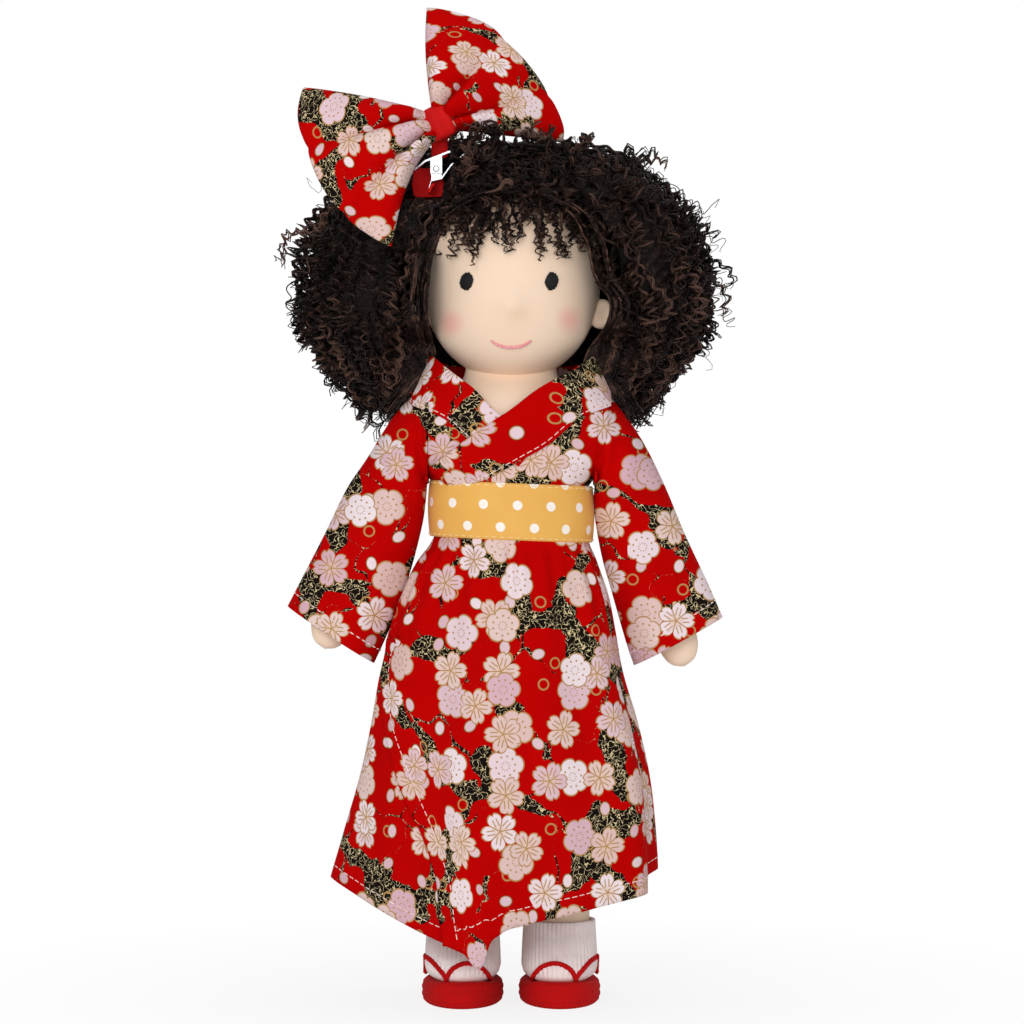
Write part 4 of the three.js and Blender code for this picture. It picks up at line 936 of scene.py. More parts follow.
# the over hem's stitches follow a seam line: in each column, the row nearest to its height
seamColumns = np.arange(skirt["margin"], skirt["columns"])
seamZ = hemHeights(overTurns, overSeam, skirt["overLift"], np.linspace(0, 1, skirt["columns"]))
seamRows = np.argmin(np.abs(overPanel[0][..., 2] - seamZ), 0)[seamColumns]
hangStitches("stitch_over_edge", overPanel, (slice(36, -3), skirt["margin"]))
hangStitches("stitch_over_hem", overPanel, (seamRows, seamColumns))
hangStitches("stitch_under_hem", underPanel, (skirt["hemRow"], slice(80)))
hangStitches("stitch_back_hem", rearPanel, (skirt["hemRow"], slice(None)))
print("skirt made")


# Collar bands: inner and outer edge as turn in degrees and height, from the middle of the back to the wrap
band = {"inTurn": (90, 45, 0, -27, -70.5, -95.3, -122, -151.4),
        "underTurn": (90, 45, 0, -27, -64.5, -86, -118, -149),
        "inZ": (288, 289.5, 292.5, 291, 279, 265, 249.4, 241),
        "outTurn": (90, 45, 0, -27.5, -56, -76.9, -106, -138),
        "outZ": (264, 266, 272, 270, 263.5, 249, 237, 232), "roll": 1.1, "thick": 1.1, "past": 1.5}


def bandLine(part, side, at):
    # a point of the band's inner or outer edge, mirrored for the under band
    knots = np.linspace(0, 1, len(band["inZ"]))
    key = "underTurn" if side < 0 and part == "in" else part + "Turn"
    turn = through(at, knots, np.radians(band[key]))
    return (turn if side > 0 else pi - turn), through(at, knots, band[part + "Z"])


def atArmhole(points, past=0.0):
    # the bodice ends at the armholes
    points[..., 0] = np.clip(points[..., 0], -gown["armhole"] - past, gown["armhole"] + past)
    return points


def frontPanel(name, side, lift, node):
    # from the side seam to the middle line of its collar band
    u, v = grid(60, 70)
    low, high = gown["bodiceLow"], 281.0
    z = low + (high - low) * v
    t = np.linspace(0.28, 1, 60)
    inTurn, inZ = bandLine("in", 1, t)
    outTurn, outZ = bandLine("out", 1, t)
    edge = np.interp(z, np.append((inZ + outZ) / 2, low)[::-1], np.append((inTurn + outTurn) / 2, -3.0)[::-1])
    turn = u * edge
    points = atArmhole(gownPoint(turn if side > 0 else pi - turn, z, lift))
    # the print runs on from the bodice to the sleeve, as seen from the front
    uv = points[..., (0, 2)] + (0, 37 * side)
    piece = thicken(makePiece(name, points, looks["kimono"], uv=uv, flip=side > 0), gown["cloth"])
    attach(piece, "kimono_cotton", "torso", [node], flat=(0.085, 0.07), held="stretched",
           rests_on=["body_cloth"], area=0.0042)


def backPanel():
    u, v = grid(50, 90)
    turn = pi * u
    low, top = gown["bodiceLow"], 270 + 8 * np.abs(np.cos(turn)) ** 2
    points = atArmhole(gownPoint(turn, low + (top - low) * v, 0.9))
    # flat cloth: along each row from its middle, and down each column from the first row
    along = arcLength(points, 1)
    uv = np.stack([along - along[:, 44:45], 160 - arcLength(points, 0)], -1)
    piece = thicken(makePiece("bodice_rear", points, looks["kimono"], uv=uv), gown["cloth"])
    attach(piece, "kimono_cotton", "torso", ["bodice_back"], flat=(0.105, 0.055), held="stretched",
           rests_on=["body_cloth"])


def collarBand(name, side, lift, last, node):
    # a folded band with a soft rolled inner edge
    u, v = grid(26, 150)
    inTurn, inZ = bandLine("in", side, u * last)
    outTurn, outZ = bandLine("out", side, u * last)
    turn, z = inTurn + (outTurn - inTurn) * v, inZ + (outZ - inZ) * v
    points = atArmhole(gownPoint(turn, z, lift + band["roll"] * np.sin(pi * v)), band["past"])
    uv = np.stack([side * (38 * (turn + pi / 2) + 25), z + 240], -1)
    piece = thicken(makePiece(name, points, looks["kimono"], uv=uv, flip=side < 0), band["thick"])
    attach(piece, "kimono_cotton", "torso", [node], flat=(0.16, 0.026), held="folded",
           rests_on=["bodice_wrap_over", "bodice_wrap_under"])
    line = (-3, slice(30, -4))
    normal = -side * outwardOf(points)[line]
    stitchRow(name + "_stitch", points[line], normal, looks["thread"], "kimono_cotton", "torso")


frontPanel("bodice_wrap_over", 1, 1.6, "bodice_front_over")
frontPanel("bodice_wrap_under", -1, 0.6, "bodice_front_under")
backPanel()
collarBand("collar_band_over", 1, 2.5, 1.0, "collar_over")
collarBand("collar_band_under", -1, 1.3, 0.8, "collar_under")
print("bodice and collar made")


# Sleeves: straight kimono sleeves, flat from front to back; upper and lower line in the front view, x then z
sleeves = {"left": {"upper": ((37, 43.4, 54, 66, 75, 85, 95.3, 102),
                              (279, 276.5, 265, 246, 232.5, 212, 192, 179)),
                    "lower": ((38.5, 38.4, 39, 40.5, 45, 50.5, 57, 62.5),
                              (237, 233, 226, 216, 198, 181, 165, 153))},
           "right": {"upper": ((37, 43.4, 52, 61, 70.5, 79, 89.5, 96.5),
                               (279, 276.5, 266, 252.5, 233, 212.5, 190, 174)),
                     "lower": ((38.5, 38, 37.6, 38.5, 41.5, 46, 52, 56),
                               (237, 233, 227, 217, 201, 185, 164, 152))},
           "deep": (19.5, 17.2, 16.5, 16, 15.4, 15, 15, 15.2), "seamRow": -9, "onBodice": 2.3}


def blendSleeve(piece):
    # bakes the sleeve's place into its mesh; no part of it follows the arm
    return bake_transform(piece)


def makeSleeve(sideName, side):
    u, v = grid(110, 121)
    knots = np.linspace(0, 1, len(sleeves["deep"]))
    upper, lower = (np.stack([through(v, knots, line) for line in sleeves[sideName][key]], -1)
                    for key in ("upper", "lower"))
    deep = through(v, knots, sleeves["deep"])
    turn = 2 * pi * u
    front, flatness = np.sign(np.sin(turn)), np.abs(np.sin(turn))
    # a lens section, with slanting wrinkles from the armpit and long soft folds towards the cuff
    wrinkle = 0.9 * np.sin(10 * v * pi + 2.2 * np.cos(turn)) * smooth(0.03, 0.15, v) * smooth(0.7, 0.3, v)
    fold = 1.5 * np.sin(3.1 * turn + 1.5 * v) * smooth(0.3, 0.9, v)
    y = (deep + (wrinkle + fold) * flatness) * front * flatness ** 1.25
    flat = (upper + lower) / 2 + (upper - lower) / 2 * np.cos(turn)[..., None]
    x, z = flat[..., 0], flat[..., 1]
    # the sleeve head lies on the bodice and leaves it at the shoulder
    wide, bodyDeep = profile(gown, z, "right", "deep")
    body = bodyDeep * np.sqrt(np.clip(1 - (x / np.maximum(wide, 44)) ** 2, 0, 1)) + sleeves["onBodice"]
    y = y + (front * body - y) * smooth(0.17, 0.03, v) * smooth(0.0, 0.25, flatness)
    points = np.stack([side * x, y, z], -1)
    uv = np.stack([side * x + np.where(np.sin(turn) > 0, 240, 0), z + 37 * side], -1)
    piece = makePiece("sleeve_cloth_" + sideName, points, looks["kimono"], uv=uv, flip=side > 0)
    thicken(weld(piece, outward=False), gown["cloth"])
    blendSleeve(piece)
    attach(piece, "kimono_cotton", None, ["sleeve_" + sideName], flat=(0.105, 0.125), held="hung",
           rests_on=["arm_cloth_" + sideName], area=0.0115)
    line, normal = points[sleeves["seamRow"]], outwardOf(points)[sleeves["seamRow"]]
    normal = normal * np.sign((normal * (line - line.mean(0))).sum(1).mean())
    hem = stitchRow("stitch_cuff_" + sideName, line, normal, looks["thread"], "kimono_cotton")
    blendSleeve(hem)


for sideName, side in bothSides:
    makeSleeve(sideName, side)
print("sleeves made")


# Obi: one stiff band, closed at the back with hook and loop tape between its two ends
obi = {"low": 209.4, "high": 235.2, "gap": 0.5, "thick": 1.9, "tilt": 0.04, "bulge": 0.9, "lapStart": 1.12,
       "lap": 0.9, "waist": (34.7, 24.7), "over": 2.5, "rim": 0.6, "tapes": (("hook", 2.5), ("loop", 3.3)),
       "tape": 0.6}


def obiPoint(turn, v, lift):
    # a band round the waist; turn runs from the hidden end under the lap to the outer end over it
    over = smooth(-0.75, 0.0, turn - (obi["lapStart"] + 2 * pi)) * obi["over"]
    swell = obi["bulge"] * (1 - (2 * v - 1) ** 2)
    wide, deep = (half + obi["gap"] + lift + over + swell for half in obi["waist"])
    x, y = wide * np.cos(turn), deep * np.sin(turn)
    return np.stack([x, y, obi["low"] + (obi["high"] - obi["low"]) * v - obi["tilt"] * x], -1)


def makeObi():
    rows = 22
    u, v = grid(rows, 300)
    turn = obi["lapStart"] + u * (2 * pi + obi["lap"])
    outer = obiPoint(turn, v, obi["thick"])
    along = arcLength(outer, 1)[rows // 2]
    front = np.interp(1.5 * pi, turn[0], along)
    uv = np.stack([0 * u + along - front, (v - 0.5) * (obi["high"] - obi["low"])], -1)
    piece = thicken(makePiece("obi_band", outer, looks["obi"], uv=uv), obi["thick"])
    rim = piece.modifiers.new("rim", "BEVEL")
    rim.width = obi["rim"] * mm
    rim.segments = 2
    rim.limit_method = "ANGLE"
    attach(piece, "obi_cotton", "torso", ["obi"], flat=(0.232, 0.0262), held="stretched",
           rests_on=["skirt_over", "bodice_wrap_over"])
    normal = outwardOf(outer)
    for label, row in (("low", 1), ("high", -2)):
        stitchRow("stitch_obi_" + label, outer[row], normal[row], looks["goldThread"], "obi_cotton", "torso")
    u, v = grid(14, 24)
    for label, lift in obi["tapes"]:
        points = obiPoint(obi["lapStart"] + 0.18 + 0.3 * u, 0.12 + 0.76 * v, lift)
        strip = thicken(makePiece("obi_" + label + "_tape", points, looks["tape"]), obi["tape"])
        attach(strip, "closure_tape", "torso", ["obi_" + label + "_strip"], flat=(0.0105, 0.0197),
               held="stretched", rests_on=["obi_band"])


makeObi()
print("obi made")


# Bow: two stuffed loops of printed cotton, pleated towards a knot of plain red ribbon.
# A loop's outer edge runs from low to high, and shift is the place of its print.
bow = {"knot": (-32.2, -22.0, 397.0), "root": 4.5, "thick": 3.6, "pleat": 9.0, "puffs": 3, "lean": 0.32,
       "length": 74.0, "wrap": (7.5, 7.0, 7.9), "tilt": -22, "creases": 7, "tail": (7.5, 13.4, 0.8),
       "left": {"x": (-53.4, -62, -72.5, -81, -87.5, -92.5, -95, -94),
                "y": (-39.5, -38, -36, -34, -32, -30, -28.5, -27),
                "z": (339, 344.5, 352, 362, 374, 387, 399, 413), "swell": (-6.5, 2.0), "shift": (60, -30)},
       "right": {"x": (24.4, 24, 20.5, 16, 10, 2.5, -8, -23, -38.4),
                 "y": (-8, -9, -10, -11, -13, -15, -17, -18.5, -20),
                 "z": (389.5, 396, 405.5, 413.5, 421.5, 430, 440, 446, 450), "swell": (0.0, 2.3),
                 "shift": (-15, 25)}}


def makeWing(sideName):
    rows, columns = 70, 121
    u, v = grid(rows, columns)
    edge = bow[sideName]
    knots = np.linspace(0, 1, len(edge["x"]))
    rim = np.stack([through(u, knots, edge[key]) for key in "xyz"], -1)
    across = unit(rim[0, -1] - rim[0, 0])
    root = np.array(bow["knot"]) + across * bow["root"] * (2 * u - 1)[..., None]
    # the low and high edges swell out or draw in between knot and rim
    swell = (edge["swell"][1] * u ** 3 - edge["swell"][0] * (1 - u) ** 3) * np.sin(pi * v)
    # round puffs between sharp valleys that run out from the knot and die away towards the rim
    uneven = u + 0.035 * np.sin(2 * pi * u + 0.9) * (1 - np.abs(2 * u - 1))
    ridge = np.abs(np.sin(pi * bow["puffs"] * uneven)) ** 0.42
    depth = bow["pleat"] * smooth(0.0, 0.18, v) * (1 - 0.78 * smooth(0.3, 1.0, v)) * ridge
    ripple = 0.8 * np.sin(2 * pi * 1.3 * u + 4.5 * v) * smooth(0.5, 1, v)
    ends = np.sqrt(np.clip(1 - (2 * u - 1) ** 8, 0, 1))
    half = bow["thick"] * (0.45 + 0.55 * smooth(0.1, 0.7, v)) + 0.4 * depth
    half = half * np.sqrt(np.clip(1 - v ** 10, 0, 1)) * ends
    # each puff leans over the valley beside it
    middle = root + (rim - root) * (v + 0.03 * (ridge - 0.7) * v ** 2)[..., None]
    middle = middle + across * (swell + bow["lean"] * depth * ends)[..., None]
    sides = [middle + np.stack([0 * u, ripple - 0.6 * depth + way * half, 0 * u], -1) for way in (-1, 1)]
    # the print follows the cloth down into the valleys, so part of it is hidden there
    along = arcLength(sides[0], 1)
    uv = np.stack([along - along[:, columns // 2, None], bow["length"] * v], -1) + edge["shift"]
    faces = np.concatenate([gridFaces(rows, columns), gridFaces(rows, columns, True) + rows * columns])
    piece = makePiece("bow_loop_" + sideName, np.array(sides), looks["kimono"], faces, np.array((uv, uv)))
    soft = weld(piece).modifiers.new("soft", "SUBSURF")
    soft.levels = 1
    soft.render_levels = 1
    attach(piece, "kimono_cotton", "bow", ["bow_wing_" + sideName], 0.35)


def makeKnot():
    u, v = grid(45, 73)
    lift, turn = -np.cos(pi * v), 2 * pi * u
    share = np.clip(1 - np.abs(lift) ** 4, 0, 1) ** (1 / 4)
    # the wrapped ribbon lies in creases that run over the knot
    crease = 1 + 0.05 * np.cos(bow["creases"] * turn + 1.2 * lift) * share
    wide, deep, high = bow["wrap"]
    x, y, z = wide * share * np.cos(turn) * crease, deep * share * np.sin(turn) * crease, high * lift
    cos, sin = math.cos(rad(bow["tilt"])), math.sin(rad(bow["tilt"]))
    points = np.stack([x * cos + z * sin, y, z * cos - x * sin], -1) + bow["knot"]
    attach(weld(makePiece("bow_wrap", points, looks["ribbon"])), "bow_ribbon", "bow", ["bow_knot"], 0.9)
    # the ribbon's tail behind the knot holds the upper jaw
    u, v = grid(20, 9)
    wide, long, thick = bow["tail"]
    points = np.stack([bow["knot"][0] + wide * (u - 0.5), -16.4 + 0.5 * np.sin(pi * u),
                       394.5 - long * v - 2.6 * (0.5 - u) * v], -1)
    tail = thicken(makePiece("bow_tail", points, looks["ribbon"]), thick)
    attach(tail, "bow_ribbon", "bow", flat=(0.0103, 0.0135), held="folded", rests_on=["bow_wrap"],
           area=0.0001)


# Lining: a felt tab on the lower prong of the clip, and a felt patch between the clip and the hair
lining = {"x": (-36.3, -35.3, -34.1), "z": (365.6, 368.0, 369.4), "y": -21.4, "deep": 8.8, "thick": 1.4,
          "patch": (14, 13), "middle": (-37.6, -12.1, 371), "patchThick": 0.8}


def makeLining():
    u, v = grid(12, 24)
    x, z = (through(v, np.linspace(0, 1, 3), lining[key]) for key in "xz")
    points = np.stack([x, lining["y"] + lining["deep"] * u, z + 0.12 * np.sin(9 * u + 5 * v)], -1)
    felt = thicken(makePiece("clip_felt", points, looks["ribbon"]), lining["thick"])
    attach(felt, "bow_ribbon", "head", ["clip_lining"], 0.5)
    u, v = grid(24, 24)
    wide, high = lining["patch"]
    corner = np.clip(1 - (2 * u - 1) ** 6, 0, 1) ** (1 / 6)
    points = np.stack([wide * (u - 0.5), 0.15 * np.sin(7 * u + 5 * v), high * (v - 0.5) * corner], -1)
    points = points + lining["middle"]
    backing = thicken(makePiece("clip_backing", points, looks["ribbon"]), lining["patchThick"])
    attach(backing, "bow_ribbon", "head", flat=(0.014, 0.013), held="laid", rests_on=["hair_locks_crown"])


for sideName, side in bothSides:
    makeWing(sideName)
makeKnot()
makeLining()
for nodeName in ("clip_upper_jaw", "clip_lower_jaw", "clip_pin", "clip_spring"):
    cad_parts[nodeName].material_slots[0].material = looks["steel"]
print("bow and clip made")


# Wig: ringlets of mohair on a knitted cap; half width, half depth and middle of the outer shape by height
wig = {"z": (262, 275, 290, 305, 325, 345, 360, 372, 383, 391, 396.5),
       "left": (52, 72, 88, 98, 102, 97, 89, 78, 58, 33, 6),
       "right": (56, 68, 82, 92, 94, 91, 83, 73, 57, 33, 6),
       "deep": (20, 38, 52, 57, 57, 55, 52, 46, 37, 24, 5), "back": (44, 29, 17, 13, 13, 12, 10, 8, 6, 4, 3),
       "heart": (0.0, 8.0, 322.0), "core": 0.87, "backCore": 0.94, "crownCore": 0.93,
       "front": -60, "top": 400}
faceSide = {"z": (280, 295, 307, 318, 325, 345, 358, 368), "left": (35, 37.4, 40, 40.4, 39.8, 35, 25, 0),
            "right": (34, 38, 46, 46.5, 41, 35, 25, 0)}
collarRoom = {"z": (230, 244, 261, 278, 298, 306), "r": (71, 69, 60, 48, 35, 0)}


def wigPoint(turn, z, share):
    # a point of the outer shape, drawn towards the heart of the wig by its share
    left, right, deep, back = profile(wig, z, "left", "right", "deep", "back")
    wide = np.where(np.cos(turn) < 0, left, right)
    shell = np.stack([wide * np.cos(turn), back + deep * np.sin(turn), z + 0 * turn], -1)
    return np.array(wig["heart"]) + (shell - wig["heart"]) * share[..., None]


def keepClear(points, room, side, face=True, bareRoom=0.0):
    # moves hair off the face to its own side, and off the collar, the bow and its clip
    x, y, z = points[..., 0], points[..., 1], points[..., 2]
    if face:
        left, right = profile(faceSide, np.clip(z, 280, 368), "left", "right")
        bare = np.where(side < 0, left, right) + room + bareRoom
        x = x + smooth(2, -10, y) * smooth(368, 362, z) * (side * np.maximum(side * x, bare) - x)
    room = np.maximum(room, 0)
    ring = np.interp(z, collarRoom["z"], collarRoom["r"]) + room
    out = np.maximum(1.0, ring / (np.hypot(x, y) + 1e-6))
    x, y = x * out, y * out
    behindCollar = smooth(318, 297, z) * smooth(66, 54, np.abs(x))
    behindWing = smooth(-22, -32, x) * smooth(332, 340, z)
    behindClip = smooth(-23, -29, x) * smooth(-58, -51, x) * smooth(358, 364, z)
    for inside, reach in ((behindCollar, 52), (behindWing, 37), (behindClip, 48.5)):
        y = np.maximum(y, wig["front"] + inside * (reach + 0.6 * room))
    underWing = smooth(-46, -40, x) * smooth(31, 26, x) * smooth(5, 1, y) * smooth(-33, -27, y)
    z = np.minimum(z, wig["top"] - underWing * (11 + 0.3 * room))
    return np.stack([x, y, z], -1)


def curlLocks(rng, paths, threads, steps, curl, pitch, spread, radius):
    # each path becomes a ringlet: a few threads wind round it together, wider at the loose end
    count, points, _ = paths.shape
    length = arcLength(paths, 1)[:, -1:]
    at = np.linspace(0, points - 1, steps)
    low = np.clip(at.astype(int), 0, points - 2)
    part = (at - low)[None, :, None]
    line = paths[:, low] * (1 - part) + paths[:, low + 1] * part
    along = unit(np.gradient(line, axis=1))
    across = unit(np.cross(along, rng.normal(size=(count, 1, 3))))
    other = np.cross(along, across)
    share = np.linspace(0, 1, steps)[None, :]
    # the ringlet wanders slowly and its turns come closer together towards the tip
    slow = 2 * pi * length * share / rng.uniform(22, 40, (count, 1)) + rng.uniform(0, 2 * pi, (count, 1))
    wander = rng.uniform(0.5, 2.6, (count, 1)) * smooth(0.05, 0.4, share)
    turns = length / (pitch * rng.uniform(0.7, 1.4, (count, 1)))
    hand = rng.choice((-1, 1), (count, 1))
    angle = 2 * pi * turns * (share + 0.2 * share ** 3) * hand + rng.uniform(0, 2 * pi, (count, 1))
    wind = curl * rng.uniform(0.6, 1.4, (count, 1)) * (0.5 + 0.5 * share + 0.5 * smooth(0.8, 1, share))
    right = wander * np.sin(slow) + wind * np.cos(angle)
    ahead = wander * np.cos(0.8 * slow) + wind * np.sin(angle)
    # inside the ringlet each thread keeps its own place and strays a little at the tip
    place = rng.uniform(0, 2 * pi, (count, threads, 1)) + 0.5 * angle[:, None]
    off = spread * rng.uniform(0.15, 1.0, (count, threads, 1)) * (0.8 + 0.9 * share ** 3)[None]
    slip = rng.normal(0, 0.35, (count, threads, 1)) * share
    right = right[:, None] + off * np.cos(place) + slip * wind[:, None]
    ahead = ahead[:, None] + off * np.sin(place) - slip * wind[:, None]
    curled = line[:, None] + right[..., None] * across[:, None] + ahead[..., None] * other[:, None]
    thick = radius * rng.uniform(0.7, 1.25, (count, threads, 1)) * (1 - 0.55 * share ** 4)
    return curled.reshape(-1, steps, 3), thick.reshape(-1, steps)


def lockPaths(rng, count, turns, starts, fall, shares):
    # locks leave the inside of the shape and fall down and outwards, some tips standing out as tufts
    share = np.linspace(0, 1, 12)[None, :]
    spaced = (np.arange(count) + rng.uniform(0, 1, count)) / count
    turn = (turns[0] + (turns[1] - turns[0]) * rng.permutation(spaced))[:, None]
    turn = turn + rng.normal(0, 0.13, (count, 1)) * share
    start = rng.uniform(*starts, (count, 1))
    end = start - rng.uniform(*fall, (count, 1))
    end = np.maximum(end, wig["z"][0] + rng.uniform(-1, 10, (count, 1)))
    z = np.clip(start + (end - start) * share ** 0.9, 258, 396.4)
    outer = rng.uniform(*shares, (count, 1))
    layer = outer - rng.uniform(0.0, 0.09, (count, 1)) * (1 - share) ** 1.5
    tuft = np.clip(rng.normal(0.012, 0.055, (count, 1)), -0.04, 0.11) * smooth(0.5, 1.0, share)
    return wigPoint(turn, z, layer + tuft)


def topTufts(rng, count):
    # short ringlets that stand up from the front of the crown, before the bow's lower edge and the clip's bar
    share = np.linspace(0, 1, 8)[None, :]
    x = np.linspace(-26, 30, count)[:, None] + rng.normal(0, 1.5, (count, 1))
    low, rise = rng.uniform(366, 381, (count, 1)), rng.uniform(9, 16, (count, 1))
    y = -31 - 2.5 * np.sin(pi * share / 2) + rng.uniform(-1.5, 1.5, (count, 1)) + 0.008 * x ** 2
    z = np.minimum(low + rise * np.sin(0.62 * pi * share), 396.5)
    return np.stack([x + rng.normal(0, 4.5, (count, 1)) * share, y + 0 * z, z], -1)


def coreShell(turns, heights, side, share):
    # the dense dark inside of the hair, lumpy with curls
    rows, columns = 64, 84
    u, v = grid(rows, columns)
    turn = turns[0] + (turns[1] - turns[0]) * u
    z = heights[0] + (heights[1] - heights[0]) * v
    lump = np.sin(23 * turn + 0.5 * z) * np.sin(0.55 * z - 9 * turn) + np.sin(41 * turn - 0.9 * z)
    points = keepClear(wigPoint(turn, z, share + 0.012 * lump), 4.5, side, side != 0, 6.0)
    if side == 0:
        # the top ring closes over the crown
        points[-1] += 0.98 * (points[-1].mean(0) - points[-1])
    quads = gridFaces(rows, columns, True)
    return points.reshape(-1, 3), np.concatenate([quads[:, [0, 1, 2]], quads[:, [0, 2, 3]]])


def hairPiece(name, seed, groups, core=None, face=True):
    # one piece of hair: its dark core and its groups of ringlets, each with a tone along its threads
    rng = np.random.default_rng(seed)
    forms, tones = [], []
    if core:
        forms.append(coreShell(*core))
        tones.append(np.full(len(forms[0][0]), 0.02))
    for draw, numbers, threads, steps, thread in groups:
        paths = draw(rng, *numbers)
        line, thick = curlLocks(rng, paths, threads, steps, *thread)
        side = np.repeat(np.where(paths[:, -6:, 0].mean(1) < 0, -1.0, 1.0), threads)[:, None]
        room = np.repeat(rng.uniform(-3.5, 4.5, len(paths)), threads)[:, None]
        room = room + rng.uniform(0, 0.8, (len(line), 1))
        forms.append(tubeField(keepClear(line, room, side, face), thick))
        # some ringlets are much lighter than others, and each is lighter towards its tip
        lockTone = np.repeat(0.15 + 1.25 * rng.uniform(0, 1, len(paths)) ** 2, threads)[:, None, None]
        tone = lockTone * rng.uniform(0.7, 1.3, (len(line), 1, 1))
        tone = tone * (0.65 + 0.55 * np.linspace(0, 1, steps))[None, :, None]
        tones.append(np.broadcast_to(tone, (len(line), steps, 3)).ravel())
    points = np.concatenate([form[0] for form in forms])
    base = np.cumsum([0] + [len(form[0]) for form in forms])
    faces = np.concatenate([form[1] + first for form, first in zip(forms, base)])
    piece = makePiece("hair_locks_" + name, points, looks["hair"], faces, tone=np.concatenate(tones))
    attach(piece, "mohair", "head", ["hair_" + name])
    print("hair_locks_" + name, len(piece.data.polygons), "faces")


# turns: the face looks along -90 degrees; a group of locks is count, turns, start heights, fall and share of
# the outer shape, then threads in a ringlet, steps along it, and its curl, pitch, spread and thickness
ringlet, stray = (1.9, 7.2, 1.25, 0.5), (2.4, 8.0, 0.3, 0.3)
for sideName, back, front, brow, seed in (("right", 15, -82, -52, 21), ("left", 165, 262, 232, 22)):
    sweep, near = sorted((rad(back), rad(front))), sorted((rad(brow), rad(front)))
    way = 1 if back < 90 else -1
    hairPiece(sideName, seed,
              [(lockPaths, (58, sweep, (300, 376), (34, 66), (0.93, 1.0)), 5, 52, ringlet),
               (lockPaths, (22, sweep, (278, 312), (14, 38), (0.9, 0.98)), 5, 42, ringlet),
               (lockPaths, (26, near, (300, 372), (34, 62), (0.88, 0.98)), 5, 52, ringlet),
               (lockPaths, (44, sweep, (276, 376), (18, 46), (0.95, 1.02)), 1, 46, stray)],
              ((rad(back + 6 * way), rad(front - 6 * way)), (270, 374), way, wig["core"]))
nape, top = (rad(10), rad(170)), (rad(-48), rad(228))
hairPiece("back", 23,
          [(lockPaths, (76, nape, (294, 378), (36, 70), (0.97, 1.02)), 5, 58, ringlet),
           (lockPaths, (26, nape, (276, 308), (14, 38), (0.91, 0.99)), 5, 42, ringlet),
           (lockPaths, (44, nape, (280, 374), (20, 50), (0.96, 1.03)), 1, 46, stray)],
          ((rad(12), rad(168)), (266, 374), 1, wig["backCore"]))
hairPiece("crown", 24,
          [(lockPaths, (52, top, (374, 396), (26, 56), (0.95, 1.01)), 5, 50, ringlet),
           (lockPaths, (40, (rad(-138), rad(-42)), (372, 393), (15, 28), (0.97, 1.03)), 5, 36, ringlet),
           (lockPaths, (22, (rad(-180), rad(180)), (387, 396.4), (8, 24), (0.98, 1.03)), 5, 36, ringlet),
           (lockPaths, (34, top, (376, 396), (16, 40), (0.97, 1.04)), 1, 46, stray),
           (topTufts, (34,), 5, 30, ringlet)],
          ((rad(-90), rad(270)), (366, 396.4), 0, wig["crownCore"]))


# Fringe: wisps that hang over the brow, each of a few strands that meet at a curled tip
fringe = {"x": (-37, -34, -31, -27, -24, -20, -16, -12, -8, -4, 0, 4, 8, 12, 16, 20, 24, 28, 32, 35),
          "z": (350, 344, 349, 340, 348, 341, 336, 347, 344, 351, 338, 346, 350, 342, 338, 350, 337, 345,
                339, 347),
          "top": 375.0, "strands": 4, "roots": 383}


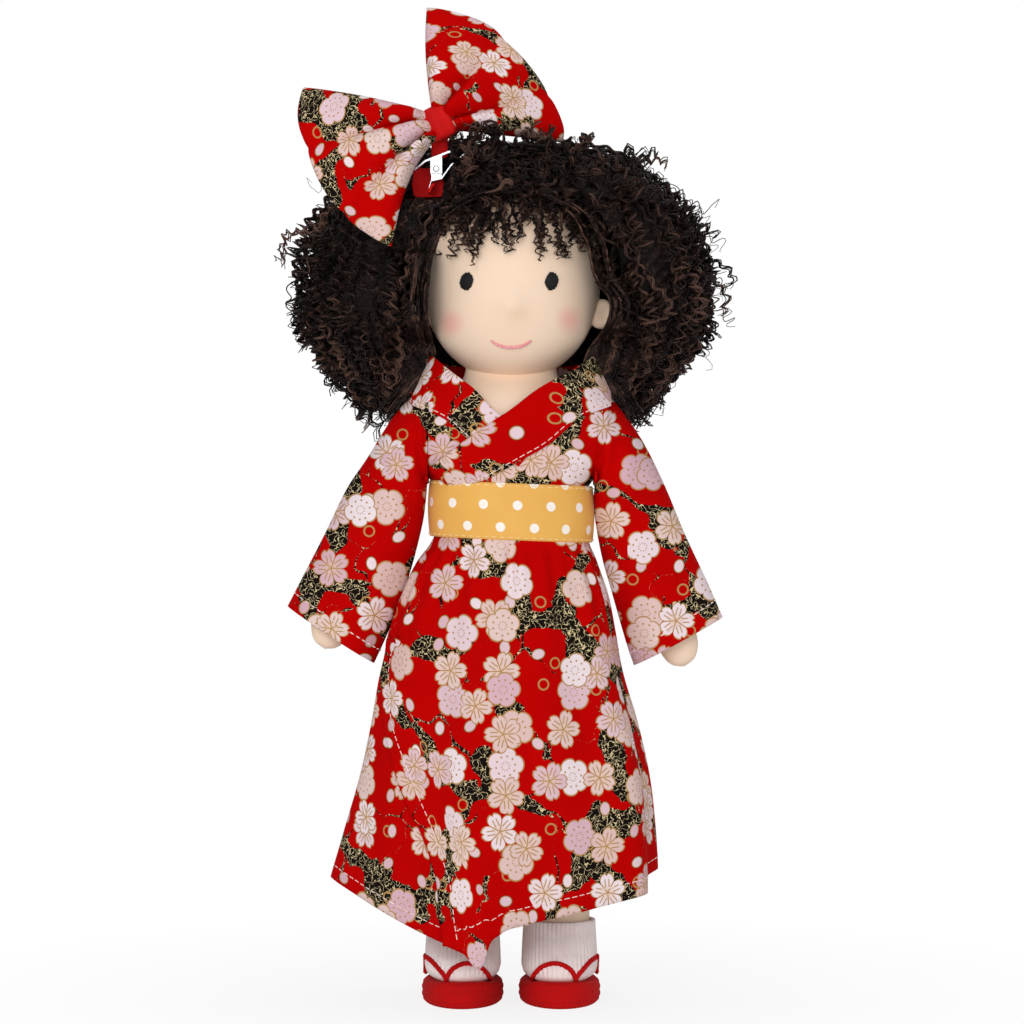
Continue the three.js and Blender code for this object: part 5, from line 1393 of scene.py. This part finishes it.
def fringePaths(_, seed):
    # the wisps have a seed of their own
    rng = np.random.default_rng(seed)
    own = np.arange(len(fringe["x"]) * fringe["strands"]) // fringe["strands"]
    x, low = (np.array(fringe[key], float)[own, None] for key in "xz")
    share = np.linspace(0, 1, 12)[None, :]
    spread = rng.normal(0, 3.2, x.shape) * (1 - share) ** 1.2 + rng.normal(0, 0.9, x.shape) * share
    bend = rng.normal(0, 2.4, len(fringe["x"]))[own, None] * np.sin(pi * share)
    z = fringe["top"] + (low + rng.normal(0, 3.4, x.shape) - fringe["top"]) * share
    across = (x * (0.66 + 0.34 * share)) + spread + bend
    return facePoint(across, z, 2.4) + np.array((0, -0.8, 0))


def browPaths(_, seed, count):
    # short locks from the crown that end at the hairline, over the roots of the fringe
    rng = np.random.default_rng(seed)
    share = np.linspace(0, 1, 12)[None, :]
    x = np.linspace(-33, 41, count)[:, None] + rng.normal(0, 1.5, (count, 1))
    low = 362 - 0.0075 * x ** 2 + rng.normal(0, 3.5, (count, 1))
    z = fringe["roots"] + (low - fringe["roots"]) * share ** 1.1
    across = x * (0.62 + 0.38 * share) + rng.normal(0, 3, (count, 1)) * np.sin(pi * share)
    return facePoint(across, z, 7.5) + np.array((0, -0.5, 0))


hairPiece("fringe", 25,
          [(fringePaths, (31,), 4, 50, (0.8, 5.0, 0.7, 0.38)),
           (browPaths, (32, 34), 5, 34, ringlet)], face=False)


# Cap: the knitted cap that the locks are sewn to, a dome whose rim leans forward
cap = {"lean": 40, "reach": 79, "gap": 2, "thick": 1.2}


def makeCap():
    u, v = grid(40, 73)
    away, turn = rad(cap["reach"]) * v, 2 * pi * u
    cos, sin = math.cos(rad(cap["lean"])), math.sin(rad(cap["lean"]))
    x, y, z = np.sin(away) * np.cos(turn), np.sin(away) * np.sin(turn), np.cos(away)
    ray = np.stack([x, y * cos + z * sin, z * cos - y * sin], -1)
    # each ray from the middle of the head is as long as the head's superellipsoid, a gap larger, lets it be
    power = np.where(ray[..., 2] < 0, head["cheek"], head["crown"])
    wide, deep, high = (head[key] / 2 + cap["gap"] for key in ("wide", "deep", "high"))
    level = np.hypot(ray[..., 0] / wide, ray[..., 1] / deep)
    size = (level ** power + np.abs(ray[..., 2] / high) ** power) ** (-1 / power)
    points = ray * size[..., None] + (0, 0, head["chin"] + head["high"] / 2)
    knit = weld(makePiece("wig_cap_knit", points, looks["cap"]), outward=False)
    attach(thicken(knit, cap["thick"]), "cap_knit", "head", ["wig_cap"], flat=(0.13, 0.13), held="stretched",
           rests_on=["head_cloth"], area=0.0125)


makeCap()
print("wig made")
